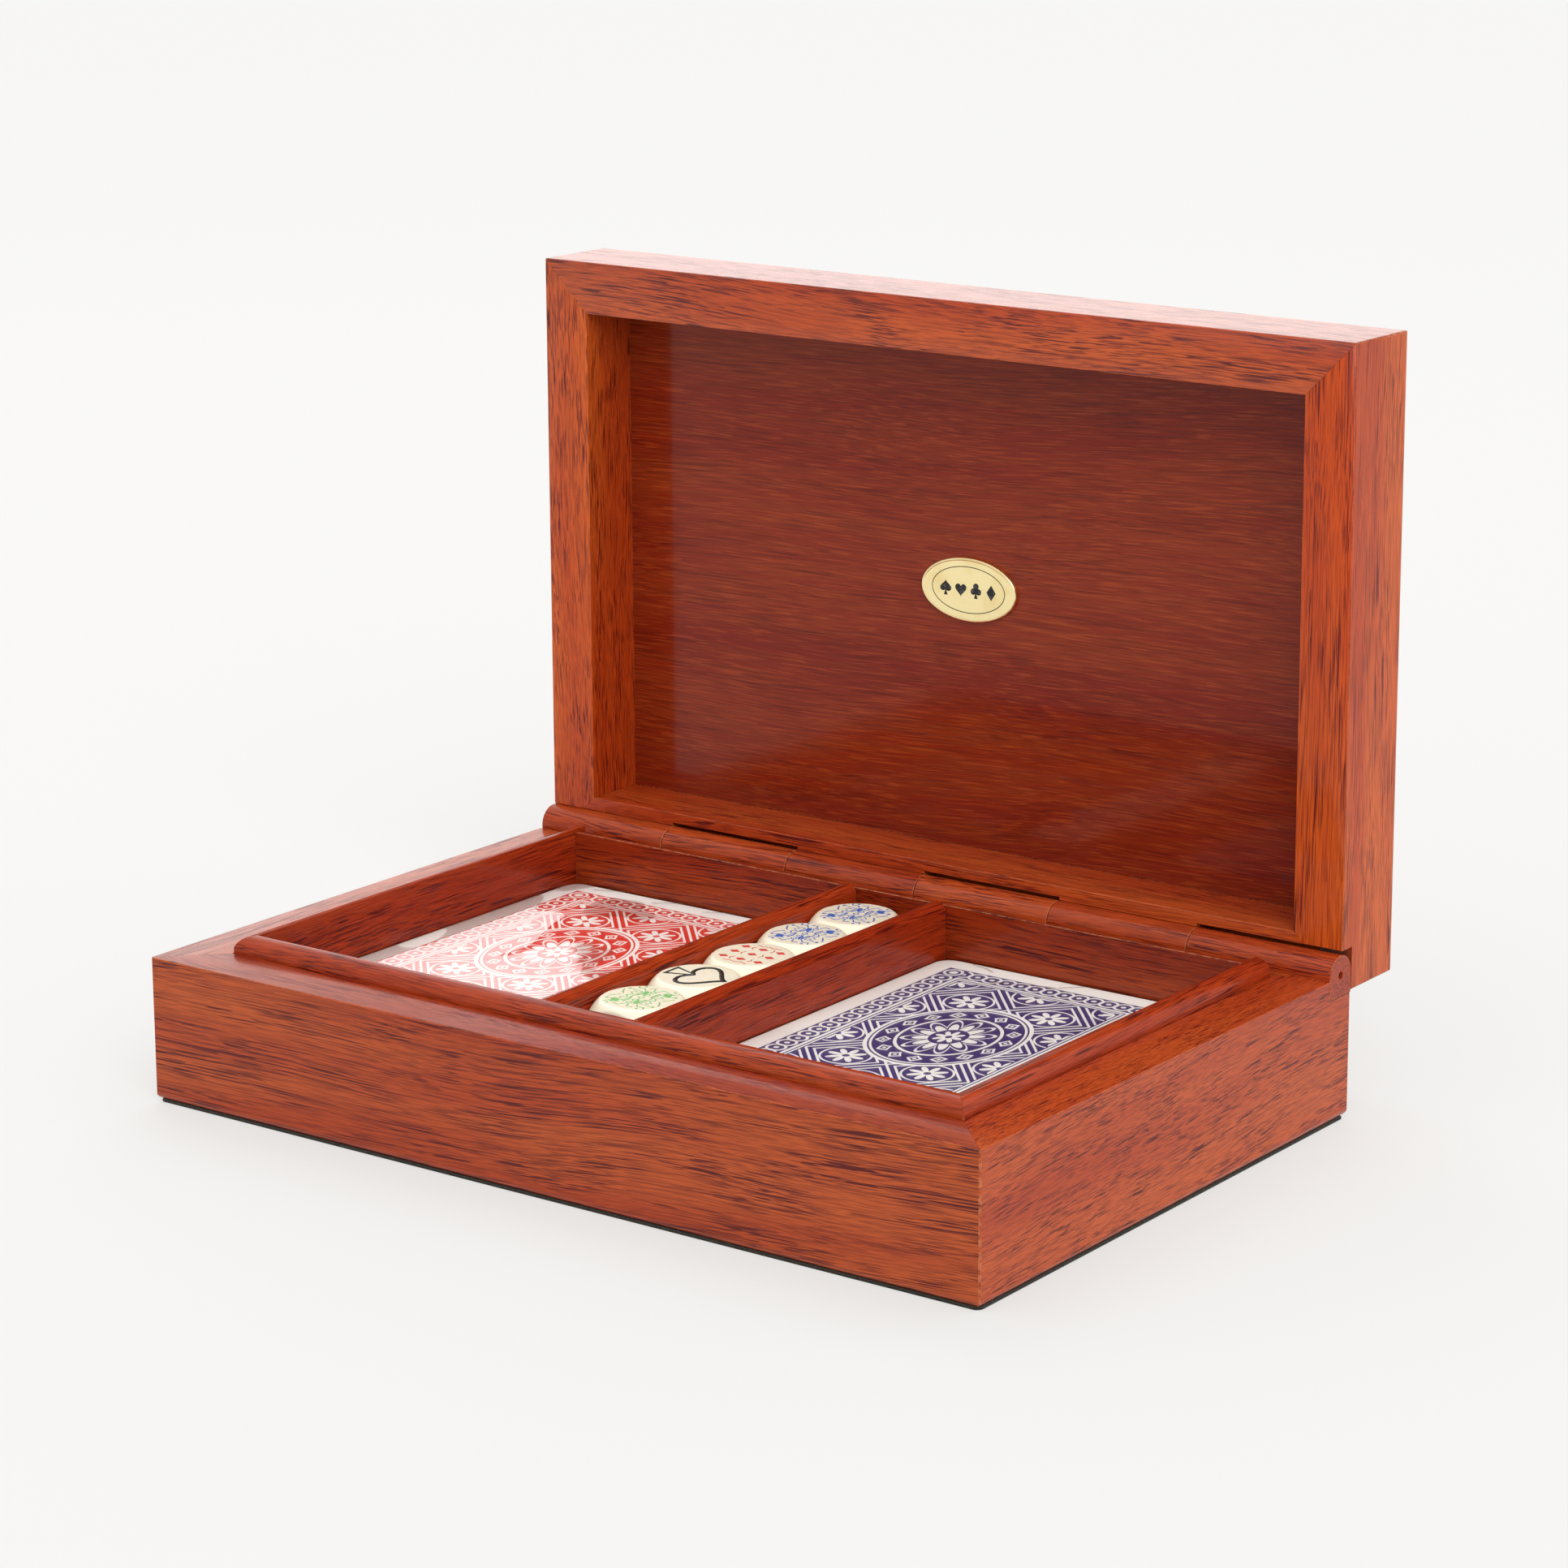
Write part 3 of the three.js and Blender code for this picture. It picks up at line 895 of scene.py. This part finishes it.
def draw_ace(drawing):
    """One large spade in outline, with its stalk."""
    outline = [(0.8 * across, 0.18 - 0.72 * along) for across, along in heart(0.3)]
    drawing.line(outline + [(-0.3, -0.9), (0.3, -0.9)], closed=True, weight=3.2)


def draw_crowns(drawing):
    """A crown over a cloak and a belt of lozenges, and the same again upside down."""
    for way in (1, -1):
        for side in (1, -1):
            draw_half_crown(drawing, way * side, way)
        sash = ((0.14, 0.06), (0.46, 0.08), (0.56, 0.2), (0.3, 0.16))
        sleeve = ((-0.6, 0.34), (-0.44, 0.4), (-0.4, 0.62), (-0.66, 0.56))
        for patch in (sash, sleeve):
            drawing.spot([(x * way, y * way) for x, y in patch])
    for x in (-0.52, -0.26, 0, 0.26, 0.52):
        drawing.line([(x - 0.1, 0), (x, 0.09), (x + 0.1, 0), (x, -0.09)], closed=True)


def draw_half_crown(drawing, right, up):
    """One side of a crown and its cloak, drawn to the right and upwards, or the other way for -1."""

    def line(*points, weight=1.0):
        drawing.line([(x * right, y * up) for x, y in points], weight=weight)

    line((0, 0.5), (0.12, 0.38), (0.26, 0.56), (0.34, 0.4), (0.5, 0.7), (0.44, 0.3), (0, 0.3))
    line((0.05, 0.66), (0.2, 0.78), (0.36, 0.86))
    line((0.56, 0.3), (0.7, 0.42), (0.66, 0.6), (0.8, 0.68))
    line((0.1, 0.24), (0.3, 0.2), (0.52, 0.24), weight=1.4)
    line((0.62, 0.06), (0.82, 0.14), (0.78, 0.32))
    drawing.spot(circle(0.5 * right, 0.78 * up, 0.05, 8))
    drawing.spot(circle(0.84 * right, 0.5 * up, 0.045, 8))


def draw_pips(drawing, kind):
    """Nine pips in three columns."""
    for x in (-0.52, 0, 0.52):
        for y in (-0.6, 0, 0.6):
            draw_suit(drawing, kind, x, y, 0.17)
        for way in (1, -1):
            drawing.line([(x - 0.12, 0.3 * way), (x, 0.36 * way), (x + 0.12, 0.3 * way)])
    for x in (-0.82, 0.82):
        drawing.line([(x, -0.4), (x * 0.92, -0.2), (x, 0), (x * 0.92, 0.2), (x, 0.4)])


def draw_lattice(drawing):
    """Crossed bars with a spot in each gap."""
    for offset in (-0.5, 0, 0.5):
        for rise in (0.3, -0.3):
            drawing.line([(-0.6, offset - rise), (0.6, offset + rise)])
    for y in (-0.75, -0.25, 0.25, 0.75):
        drawing.spot(circle(0, y, 0.06, 8))


# Brass plate

PLATE_SINK = 0.12 * MM
PLATE_SUITS = ("spade", "heart", "club", "diamond")


class CARDBOX_OT_plate(bpy.types.Operator):
    """Make the oval brass plate in the lid"""

    bl_idname = "card_box.plate"
    bl_label = "Brass plate"

    def execute(self, context):
        rim = context.scene.card_box_metal.rim
        low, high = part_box("lid_plate")
        size = high - low
        middle = (low + high) / 2
        bpy.ops.mesh.primitive_cylinder_add(
            vertices=128, radius=0.5, depth=1, location=middle, rotation=(math.pi / 2, 0, 0)
        )
        bpy.context.active_object.scale = (size.x, size.z, size.y)
        plate = new_piece("lid_plate_brass")
        with editing(plate, "FACE", lambda face: face.normal.y < -SQUARE):
            bpy.ops.mesh.inset(thickness=rim)
            bpy.ops.mesh.inset(thickness=rim / 3)
            bpy.ops.transform.translate(value=(0, PLATE_SINK, 0))
        with editing(plate, "EDGE", lambda edge: self.is_rim(edge, low.y)):
            bpy.ops.mesh.bevel(offset=rim * 0.6, segments=4)
        plate.data.materials.append(brass_finish())
        face = Vector((middle.x, low.y + PLATE_SINK, middle.z))
        inks = context.scene.card_box_dice
        ink = ink_finish("plate_ink", inks.black)
        drawing = Drawing(face, Vector((1, 0, 0)), Vector((0, 0, 1)), size.z / 2, ink, inks.stroke)
        for place, kind in enumerate(PLATE_SUITS):
            draw_suit(drawing, kind, (place - 1.5) * 0.56, 0.0, 0.24)
        ring = [(1.34 * x, 0.72 * y) for x, y in circle(0, 0, 1, 64)]
        drawing.line(ring, closed=True, weight=0.6)
        join(plate, drawing.solids())
        soften(plate)
        stands_for(plate, "lid_plate")
        return {"FINISHED"}

    @staticmethod
    def is_rim(edge, front_y):
        """True for an edge between the plate's front and its round side."""
        is_front = all(abs(vert.co.y - front_y) < MERGE for vert in edge.verts)
        return is_front and any(abs(face.normal.y) < 0.1 for face in edge.link_faces)


# Packs of cards

CARD_CORNER = 3.5 * MM
CARD_SMOOTH = math.radians(35)
LEAF_SHARE = 0.94
LEAF_SLIP = 0.05 * MM

# The band of links round the print: its share of half the print's width, a link's radius as a share of the
# band, and how many links run from the middle of a side and of an end to the corner
BAND_SHARE = 0.19
LINK_SHARE = 0.38
LINK_WEIGHT = 1.3
SIDE_LINKS = 9.5
END_LINKS = 6

# The lozenges, in millimetres: from the band to them, a flower's petals, and the ring round a flower
FRAME_LINES = 2.0
FLOWER_PETAL = 3.2
FLOWER_RING = 5.2

# The oval, as shares of the field inside the band, with the radius and the weight of each of its lines
OVAL_SHARES = (0.7, 0.58)
OVAL_LINES = ((1, 1), (0.93, 0.5), (0.64, 0.7))
OVAL_GEMS = 16
OVAL_PETALS = 6
STAR_POINTS = 4


class PrintedBack:
    """The pattern of a card's back, white on an ink, laid out in millimetres and the same in each quarter:
    a chain of rings round the edge, lozenges with a flower in each, and an oval of petals in the middle."""

    def __init__(self, finish, centre, half):
        cards = bpy.context.scene.card_box_cards
        local = finish.moved(finish.place, -centre)
        parts = finish.node("SeparateXYZ", {0: finish.stretched(local, (1 / MM, 1 / MM, 1 / MM))}).outputs
        self.x = abs(finish.number(parts[0]))
        self.y = abs(finish.number(parts[1]))
        self.line = cards.line / MM
        self.edge = [half[axis] / MM - cards.border / MM for axis in (X, Y)]
        self.band = self.edge[0] * BAND_SHARE
        self.inner = [edge - self.band for edge in self.edge]

    def stroke(self, distance, weight=1.0):
        return abs(distance).below(self.line * weight / 2)

    def length(self, across, up):
        return (across * across + up * up).math("SQRT")

    def outside(self, edges):
        """How far a point lies past the edges of a rectangle, and less than 0 inside it."""
        return (self.x - edges[0]).most(self.y - edges[1])

    def chain(self, along, across, reach, rings):
        """Rings that overlap like the links of a chain, each with a spot in it."""
        pitch = reach / rings
        beside = abs((along / pitch + 0.5).math("FRACT") - 0.5) * pitch
        centred = across - self.band / 2
        radius = self.band * LINK_SHARE
        near = self.length(beside, centred)
        far = self.length(beside * -1 + pitch, centred)
        spot = near.below(self.band * 0.12)
        return self.stroke(near - radius, LINK_WEIGHT).most(self.stroke(far - radius, LINK_WEIGHT), spot)

    def border(self):
        inner_x, inner_y = self.inner
        side = self.chain(self.y, self.x - inner_x, inner_y, SIDE_LINKS)
        side = side * self.x.above(inner_x) * self.y.below(inner_y)
        end = self.chain(self.x, self.y - inner_y, inner_x, END_LINKS)
        end = end * self.y.above(inner_y) * self.x.below(inner_x)
        away = self.length(self.x - (inner_x + self.band / 2), self.y - (inner_y + self.band / 2))
        corner = self.stroke(away - self.band * LINK_SHARE, LINK_WEIGHT).most(away.below(self.band * 0.2))
        outside = self.outside(self.inner)
        return side.most(end, corner, self.stroke(outside + 0.4, 1.6), self.stroke(outside + 1.4))

    def lozenges(self):
        cell = (self.inner[0] - FRAME_LINES, (self.inner[1] - FRAME_LINES) / 1.5)
        first = (self.x / cell[0] + self.y / cell[1]).math("FRACT")
        second = (self.x / cell[0] - self.y / cell[1]).math("FRACT")
        spread = 1 / math.hypot(1 / cell[0], 1 / cell[1])
        to_edge = (abs(first - 0.5) * -1 + 0.5).least(abs(second - 0.5) * -1 + 0.5) * spread
        across = (first + second - 1) * (cell[0] / 2)
        up = (first - second) * (cell[1] / 2)
        reach = self.length(across, up)
        lobes = abs((up.math("ARCTAN2", across) * 4).math("COSINE"))
        flower = reach.below(lobes * FLOWER_PETAL + 1.0) * reach.above(0.8)
        ring = self.stroke(reach - FLOWER_RING)
        return to_edge.below(self.line * 0.6).most(self.stroke(to_edge - 1.5, 1.1), ring, flower)

    def oval(self):
        """The oval's pattern, and how far out a point is: 1 on its rim."""
        half = [share * inner for share, inner in zip(OVAL_SHARES, self.inner)]
        across = self.x / half[0]
        up = self.y / half[1]
        away = self.length(across, up)
        turn = up.math("ARCTAN2", across)
        thin = self.line / half[0]
        lines = [abs(away - radius).below(thin * weight) for radius, weight in OVAL_LINES]
        step = abs((turn * (OVAL_GEMS / (2 * math.pi))).math("FRACT") - 0.5) * 4.6
        gem = step + abs(away - 0.785) * half[0] * 1.1
        gems = abs(gem - 1.35).below(self.line * 0.7).most(gem.below(0.5))
        gems = gems * away.above(0.66) * away.below(0.91)
        petal = abs((turn * OVAL_PETALS).math("COSINE")) * 0.24 + 0.33
        petals = abs(away - petal).below(thin * 0.8).most(away.below(petal - 0.12) * away.above(0.25))
        star = away.below(abs((turn * STAR_POINTS).math("COSINE")) * 0.13 + 0.07) * away.above(0.045)
        return petals.most(star, gems, *lines), away

    def white(self):
        """1 where the paper shows, 0 where there is ink."""
        oval, away = self.oval()
        field = (oval * away.below(1.02)).most(self.lozenges() * away.above(1.0))
        field = field * self.outside(self.inner).below(-FRAME_LINES)
        return self.border().most(field, self.outside(self.edge).above(0.0))


def back_finish(name, low, high, ink):
    finish = Finish(name)
    white = PrintedBack(finish, (low + high) / 2, (high - low) / 2).white()
    inked = finish.mix(finish.cloud(300) * 0.3, rgb(ink), tinted(ink, (1.15, 1.25, 1.25)))
    ground = finish.mix(white, inked, rgb(bpy.context.scene.card_box_cards.paper))
    linen = finish.cloud(2200, 1.0)
    return finish.shine(ground, linen * 0.1 + 0.38, finish.bump(linen, 0.01 * MM))


def paper_finish(name):
    finish = Finish(name)
    paper = bpy.context.scene.card_box_cards.paper
    layers = finish.cloud((60, 60, 9000))
    ground = finish.mix(layers.rise(0.4, 0.7) * 0.5, rgb(paper), tinted(paper, (0.82, 0.8, 0.76)))
    return finish.shine(ground, layers * 0.1 + 0.6, finish.bump(layers, 0.02 * MM))


class CARDBOX_OT_cards(bpy.types.Operator):
    """Make the two packs of cards, card by card"""

    bl_idname = "card_box.cards"
    bl_label = "Cards"

    def execute(self, context):
        cards = context.scene.card_box_cards
        for tone, ink in (("red", cards.red), ("blue", cards.blue)):
            node = f"{tone}_deck_cards"
            low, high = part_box(node)
            count = round((high.z - low.z) / cards.leaf)
            pitch = (high.z - low.z) / count
            slip = Vector((LEAF_SLIP, LEAF_SLIP, 0))
            last = Vector((high.x, high.y, low.z + pitch * LEAF_SHARE))
            stack = rounded_slab(f"{tone}_cards", low + slip, last - slip, CARD_CORNER, 6)
            apply_modifier(
                stack,
                "ARRAY",
                count=count,
                use_relative_offset=False,
                use_constant_offset=True,
                constant_offset_displace=(0, 0, pitch),
            )
            self.slip_leaves(stack, low.z, pitch, random.Random(tone))
            stack.data.materials.append(paper_finish(f"{tone}_card_edges"))
            stack.data.materials.append(back_finish(f"{tone}_card_backs", low, high, ink))
            for face in stack.data.polygons:
                face.material_index = 1 if face.normal.z > SQUARE else 0
            select_only(stack)
            bpy.ops.object.shade_smooth_by_angle(angle=CARD_SMOOTH)
            stands_for(stack, node)
        return {"FINISHED"}

    @staticmethod
    def slip_leaves(stack, bottom, pitch, dice):
        """Moves each card a little out of line with the next."""
        slips = {}
        for vertex in stack.data.vertices:
            leaf = int((vertex.co.z - bottom + pitch * 0.01) / pitch)
            if leaf not in slips:
                slips[leaf] = Vector((dice.uniform(-1, 1), dice.uniform(-1, 1), 0)) * LEAF_SLIP
            vertex.co += slips[leaf]


# Clear film


class Film(NamedTuple):
    """How one pack's film lies: which way it comes loose of the cards and how fast, how much more it mirrors
    there, and its folds, each from a start to an end in millimetres from its middle."""

    lean: tuple
    looseness: float
    folds: tuple


FILMS = {
    "red": Film((-6, -8), 1.0, (((0, 44), (-7, 40.5)), ((13, 44), (7, 41)), ((-17, 44), (-24, 41.5)))),
    "blue": Film((12, -12), 0.3, (((4, 44), (0, 39.5)), ((0, 39.5), (-14, 35)), ((-24, 43.5), (-17, 41)))),
}
FILM_VOXEL = 0.7 * MM
FILM_SINK = 0.2 * MM
FILM_CORNER = 3.8 * MM
FILM_FACE = 0.5 * MM
FOLD_WIDTH = 0.5 * MM
FOLD_FADE = 0.5 * MM
FOLD_STRAY = 2 * MM
LOOSE_TILT = (0.2, -0.29, 0)


def film_finish(name, centre, look):
    """Clear film, which mirrors more the more it is seen aslant. Where it has come loose of the cards it stands at
    a slope and mirrors the light above.
    Its folds are painted dark brown, a painted shadow of the raised folds."""
    finish = Finish(name)
    local = finish.moved(finish.place, -centre)
    crumple = finish.cloud((170, 120, 120))

    def along(way, start=(0, 0)):
        """How far a point lies from a start, along a way."""
        return finish.dot(finish.moved(local, (-start[0] * MM, -start[1] * MM, 0)), (*way, 0))

    def fold(start, end):
        """1 in the middle of a fold, and 0 off it."""
        run = Vector(end) - Vector(start)
        way = run.normalized()
        ahead = along(way, start)
        beside = abs(along((-way.y, way.x), start) + (crumple - 0.5) * FOLD_STRAY)
        within = ahead.rise(0.0, FOLD_FADE) * (ahead * -1 + run.length * MM).rise(0.0, FOLD_FADE)
        return (beside * -1 + FOLD_WIDTH).rise(0.0, FOLD_WIDTH) * within

    first, *others = [fold(*ends) for ends in look.folds]
    folds_with_painted_shade = first.most(*others)
    pockets = finish.cloud((52, 34, 30), 1.0)
    loose = (pockets * 1.6 + along(look.lean)).rise(0.8, 0.82) * look.looseness
    tilt = finish.node("VectorMath", {0: LOOSE_TILT, "Scale": loose}, operation="SCALE").outputs[0]
    tilted = finish.moved(finish.bump(crumple, 0.2 * MM, 0.3), tilt)
    normal = finish.node("VectorMath", {0: tilted}, operation="NORMALIZE").outputs[0]
    aslant = finish.number(finish.node("Fresnel", {"IOR": 1.16, "Normal": normal}).outputs[0])
    clear = finish.node("BsdfTransparent", {"Color": (1, 1, 1, 1)}).outputs[0]
    shine = finish.node("BsdfGlossy", {"Color": (1, 1, 1, 1), "Roughness": 0.05, "Normal": normal}).outputs[0]
    # Painted shadow: the folds are a dark brown diffuse, for the shade beside a raised fold
    fold_painted_shade = finish.node("BsdfDiffuse", {"Color": (0.3, 0.2, 0.15, 1)}).outputs[0]
    seen = finish.node("MixShader", {0: folds_with_painted_shade, 1: shine, 2: fold_painted_shade}).outputs[0]
    mirrored = aslant + loose * 0.15 + folds_with_painted_shade * 0.4
    return finish.finished(finish.node("MixShader", {0: mirrored, 1: clear, 2: seen}).outputs[0])


class CARDBOX_OT_wraps(bpy.types.Operator):
    """Wrap both packs in clear film"""

    bl_idname = "card_box.wraps"
    bl_label = "Clear film"

    def execute(self, context):
        for tone, look in FILMS.items():
            node = f"{tone}_deck_wrap"
            low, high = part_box(node)
            film = rounded_slab(f"{tone}_film", low, high, FILM_CORNER, 6)
            apply_modifier(film, "REMESH", mode="VOXEL", voxel_size=FILM_VOXEL)
            apply_modifier(film, "SMOOTH", factor=0.5, iterations=2)
            self.wrinkle(film, low, high)
            select_only(film)
            bpy.ops.object.shade_smooth()
            film.data.materials.append(film_finish(f"{tone}_clear_film", (low + high) / 2, look))
            stands_for(film, node)
        return {"FINISHED"}

    @staticmethod
    def wrinkle(film, low, high):
        """Lets the film sink between soft waves, never out past its box."""
        for vertex in film.data.vertices:
            point = vertex.co
            wave = noise.noise(Vector((point.x * 38, point.y * 24, point.z * 30)))
            tuck = noise.noise(Vector((point.x * 90, point.y * 60, 7.0)))
            sink = FILM_SINK * (0.5 + 0.42 * wave + 0.1 * tuck)
            if point.z > high.z - FILM_FACE:
                point.z = high.z - sink
            elif point.z < low.z + FILM_FACE:
                point.z = low.z + sink * 0.3
            for axis in (X, Y):
                point[axis] = min(max(point[axis], low[axis]), high[axis])


# Dice

# The way that each face looks, and the way to the right on it
DIE_FACES = (
    ((0, 0, 1), (1, 0, 0)),
    ((0, 0, -1), (1, 0, 0)),
    ((0, -1, 0), (1, 0, 0)),
    ((0, 1, 0), (-1, 0, 0)),
    ((1, 0, 0), (0, 1, 0)),
    ((-1, 0, 0), (0, -1, 0)),
)
DIE_TOPS = ("king", "king", "nine", "ace", "queen")
DIE_VOXEL = 0.45 * MM
FIGURE_SHARE = 0.82


class CARDBOX_OT_dice(bpy.types.Operator):
    """Make the five dice with their figures"""

    bl_idname = "card_box.dice"
    bl_label = "Dice"

    def execute(self, context):
        looks = context.scene.card_box_dice
        ivory = ivory_finish()
        figures = self.figures(looks)
        for number, top in enumerate(DIE_TOPS, start=1):
            node = f"die_{number}"
            low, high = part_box(node)
            die = self.shape(f"{node}_ivory", low, high, looks.ball)
            die.data.materials.append(ivory)
            drawn = []
            for (normal, right), name in zip(DIE_FACES, self.order(list(figures), top, number)):
                draw, ink = figures[name]
                drawing = self.face(low, high, Vector(normal), Vector(right), ink, looks.stroke)
                draw(drawing)
                drawn += drawing.solids()
            join(die, drawn)
            stands_for(die, node)
        return {"FINISHED"}

    @staticmethod
    def figures(looks):
        """How each figure is drawn, and in which ink."""
        names = ("blue", "green", "red", "black", "navy")
        blue, green, red, black, navy = [ink_finish(f"{name}_ink", getattr(looks, name)) for name in names]
        return {
            "king": (draw_crowns, blue),
            "queen": (draw_crowns, green),
            "nine": (lambda drawing: draw_pips(drawing, "diamond"), red),
            "ace": (draw_ace, black),
            "ten": (lambda drawing: draw_pips(drawing, "club"), navy),
            "knave": (draw_lattice, red),
        }

    @staticmethod
    def order(names, top, number):
        """The figures in the order of the faces. After the top one, each die starts from another one."""
        others = [name for name in names if name != top]
        shift = number % len(others)
        return [top, *others[shift:], *others[:shift]]

    @staticmethod
    def face(low, high, normal, right, ink, stroke):
        """A drawing on one face. The one on top is turned to be read from the right."""
        half = (high.x - low.x) / 2
        up = normal.cross(right)
        if normal.z > 0:
            right, up = -up, right
        return Drawing((low + high) / 2 + normal * half, right, up, half * FIGURE_SHARE, ink, stroke)

    @staticmethod
    def shape(name, low, high, ball):
        """A ball cut flat on six sides, with its edges worn smooth."""
        middle = (low + high) / 2
        bpy.ops.mesh.primitive_uv_sphere_add(segments=96, ring_count=48, radius=ball, location=middle)
        die = new_piece(name)
        for normal, _ in DIE_FACES:
            cut_off(die, Vector([high[i] if normal[i] > 0 else low[i] for i in (X, Y, Z)]), Vector(normal))
        apply_modifier(die, "REMESH", mode="VOXEL", voxel_size=DIE_VOXEL)
        apply_modifier(die, "SMOOTH", factor=0.5, iterations=5)
        select_only(die)
        bpy.ops.object.shade_smooth()
        return die


# Stage

CAMERA_PLACE = (0.53077, -0.69515, 0.29707)
CAMERA_RIGHT = (0.81961, 0.57291, 0.0024)
CAMERA_AHEAD = (-0.55728, 0.79821, -0.22869)
SENSOR = 36
LENS = 102.609
SHIFT = (-0.09398, -0.06951)
NEAREST = 0.01

FLOOR_WIDTH = 12
FLOOR_PAINT = 0.35
FLOOR_GLOW = 0.62

# The key light is large and soft, high on the right and a little in front
KEY_WAY = (0.63, -0.52, 0.6)
KEY_SPREAD = math.radians(38)

# The window is a square lamp up behind the box, which the film and the round edges mirror
WINDOW_WAY = (-0.4515, 0.368, 0.8128)
WINDOW_AWAY = 1.5
WINDOW_SIZE = 0.5

# The sky is brighter low behind the box
BACK_WAY = (-0.5, 0.8, 0.22)
SKY_LIGHT = (1.0, 0.985, 0.97, 1)
SKY_SEEN = (0.93, 0.922, 0.905, 1)


class CARDBOX_OT_stage(bpy.types.Operator):
    """Set up the floor, the light and the camera"""

    bl_idname = "card_box.stage"
    bl_label = "Stage"

    def execute(self, context):
        looks = context.scene.card_box_stage
        self.add_floor(looks.floor)
        key = self.add_light("key_light", "SUN", (1, -1, 2), Vector(KEY_WAY))
        key.energy = looks.key
        key.angle = KEY_SPREAD
        way = Vector(WINDOW_WAY)
        window = self.add_light("window_light", "AREA", way * WINDOW_AWAY, way)
        window.energy = looks.window
        window.size = WINDOW_SIZE
        self.light_sky(context.scene, looks)
        self.add_camera(context.scene)
        context.scene.view_settings.view_transform = "Standard"
        return {"FINISHED"}

    @staticmethod
    def add_floor(paint):
        bpy.ops.mesh.primitive_plane_add(size=FLOOR_WIDTH, location=(0, 0, 0))
        floor = new_piece("floor")
        finish = Finish("floor_paint")
        grey = [FLOOR_PAINT * c for c in rgb(paint)[:3]]
        glow = {"Emission Color": rgb(paint), "Emission Strength": FLOOR_GLOW}
        floor.data.materials.append(finish.shine((*grey, 1), 1.0, others={"Specular IOR Level": 0.0} | glow))

    @staticmethod
    def add_light(name, kind, place, way):
        """A light that shines from the side that a way points to."""
        bpy.ops.object.light_add(type=kind, location=place)
        light = bpy.context.active_object
        light.name = name
        light.rotation_euler = way.to_track_quat("Z", "Y").to_euler()
        return light.data

    @staticmethod
    def light_sky(scene, looks):
        """Even light, brighter low behind the box and overhead. The camera sees it plain."""
        scene.world = bpy.data.worlds.new("studio")
        sky = Shader(scene.world, "Generated")
        back = sky.dot(sky.place, BACK_WAY).rise(0.72, 0.9)
        over = sky.dot(sky.place, (0, 0, 1)).rise(0.45, 0.85)
        power = back * looks.back + looks.sky + over * looks.overhead
        lit = sky.node("Background", {"Color": SKY_LIGHT, "Strength": power}).outputs[0]
        seen = sky.node("Background", {"Color": SKY_SEEN, "Strength": 1.0}).outputs[0]
        is_seen = sky.node("LightPath").outputs["Is Camera Ray"]
        mixed = sky.node("MixShader", {0: is_seen, 1: lit, 2: seen}).outputs[0]
        sky.node("OutputWorld", {"Surface": mixed})

    @staticmethod
    def add_camera(scene):
        bpy.ops.object.camera_add(location=CAMERA_PLACE)
        camera = bpy.context.active_object
        camera.name = "camera"
        ahead = Vector(CAMERA_AHEAD).normalized()
        right = Vector(CAMERA_RIGHT)
        right = (right - ahead * right.dot(ahead)).normalized()
        up = right.cross(ahead)
        camera.rotation_euler = Matrix((right, up, -ahead)).transposed().to_euler()
        camera.data.sensor_width = SENSOR
        camera.data.lens = LENS
        camera.data.shift_x, camera.data.shift_y = SHIFT
        camera.data.clip_start = NEAREST
        scene.camera = camera


OPERATORS = (
    CARDBOX_OT_stage,
    CARDBOX_OT_rails,
    CARDBOX_OT_lip,
    CARDBOX_OT_floors,
    CARDBOX_OT_felt,
    CARDBOX_OT_hinge,
    CARDBOX_OT_panel,
    CARDBOX_OT_plate,
    CARDBOX_OT_cards,
    CARDBOX_OT_wraps,
    CARDBOX_OT_dice,
)


class CARDBOX_PT_panel(bpy.types.Panel):
    """Lists the pieces and their settings"""

    bl_idname = "CARDBOX_PT_panel"
    bl_label = "Card Box"
    bl_space_type = "VIEW_3D"
    bl_region_type = "UI"
    bl_category = "Card Box"

    def draw(self, context):
        for name, group in SETTINGS.items():
            box = self.layout.box()
            for key in group.__annotations__:
                box.prop(getattr(context.scene, name), key)
        for operator in OPERATORS:
            self.layout.operator(operator.bl_idname)


def register():
    for name, group in SETTINGS.items():
        bpy.utils.register_class(group)
        setattr(bpy.types.Scene, name, PointerProperty(type=group))
    for operator in OPERATORS:
        bpy.utils.register_class(operator)
    bpy.utils.register_class(CARDBOX_PT_panel)


def unregister():
    bpy.utils.unregister_class(CARDBOX_PT_panel)
    for operator in reversed(OPERATORS):
        bpy.utils.unregister_class(operator)
    for name, group in reversed(SETTINGS.items()):
        delattr(bpy.types.Scene, name)
        bpy.utils.unregister_class(group)


def run(operator):
    """Calls an operator as the panel's button would."""
    family, name = operator.bl_idname.split(".")
    getattr(getattr(bpy.ops, family), name)()


def main():
    register()
    for operator in OPERATORS:
        run(operator)


if __name__ == "__main__":
    main()
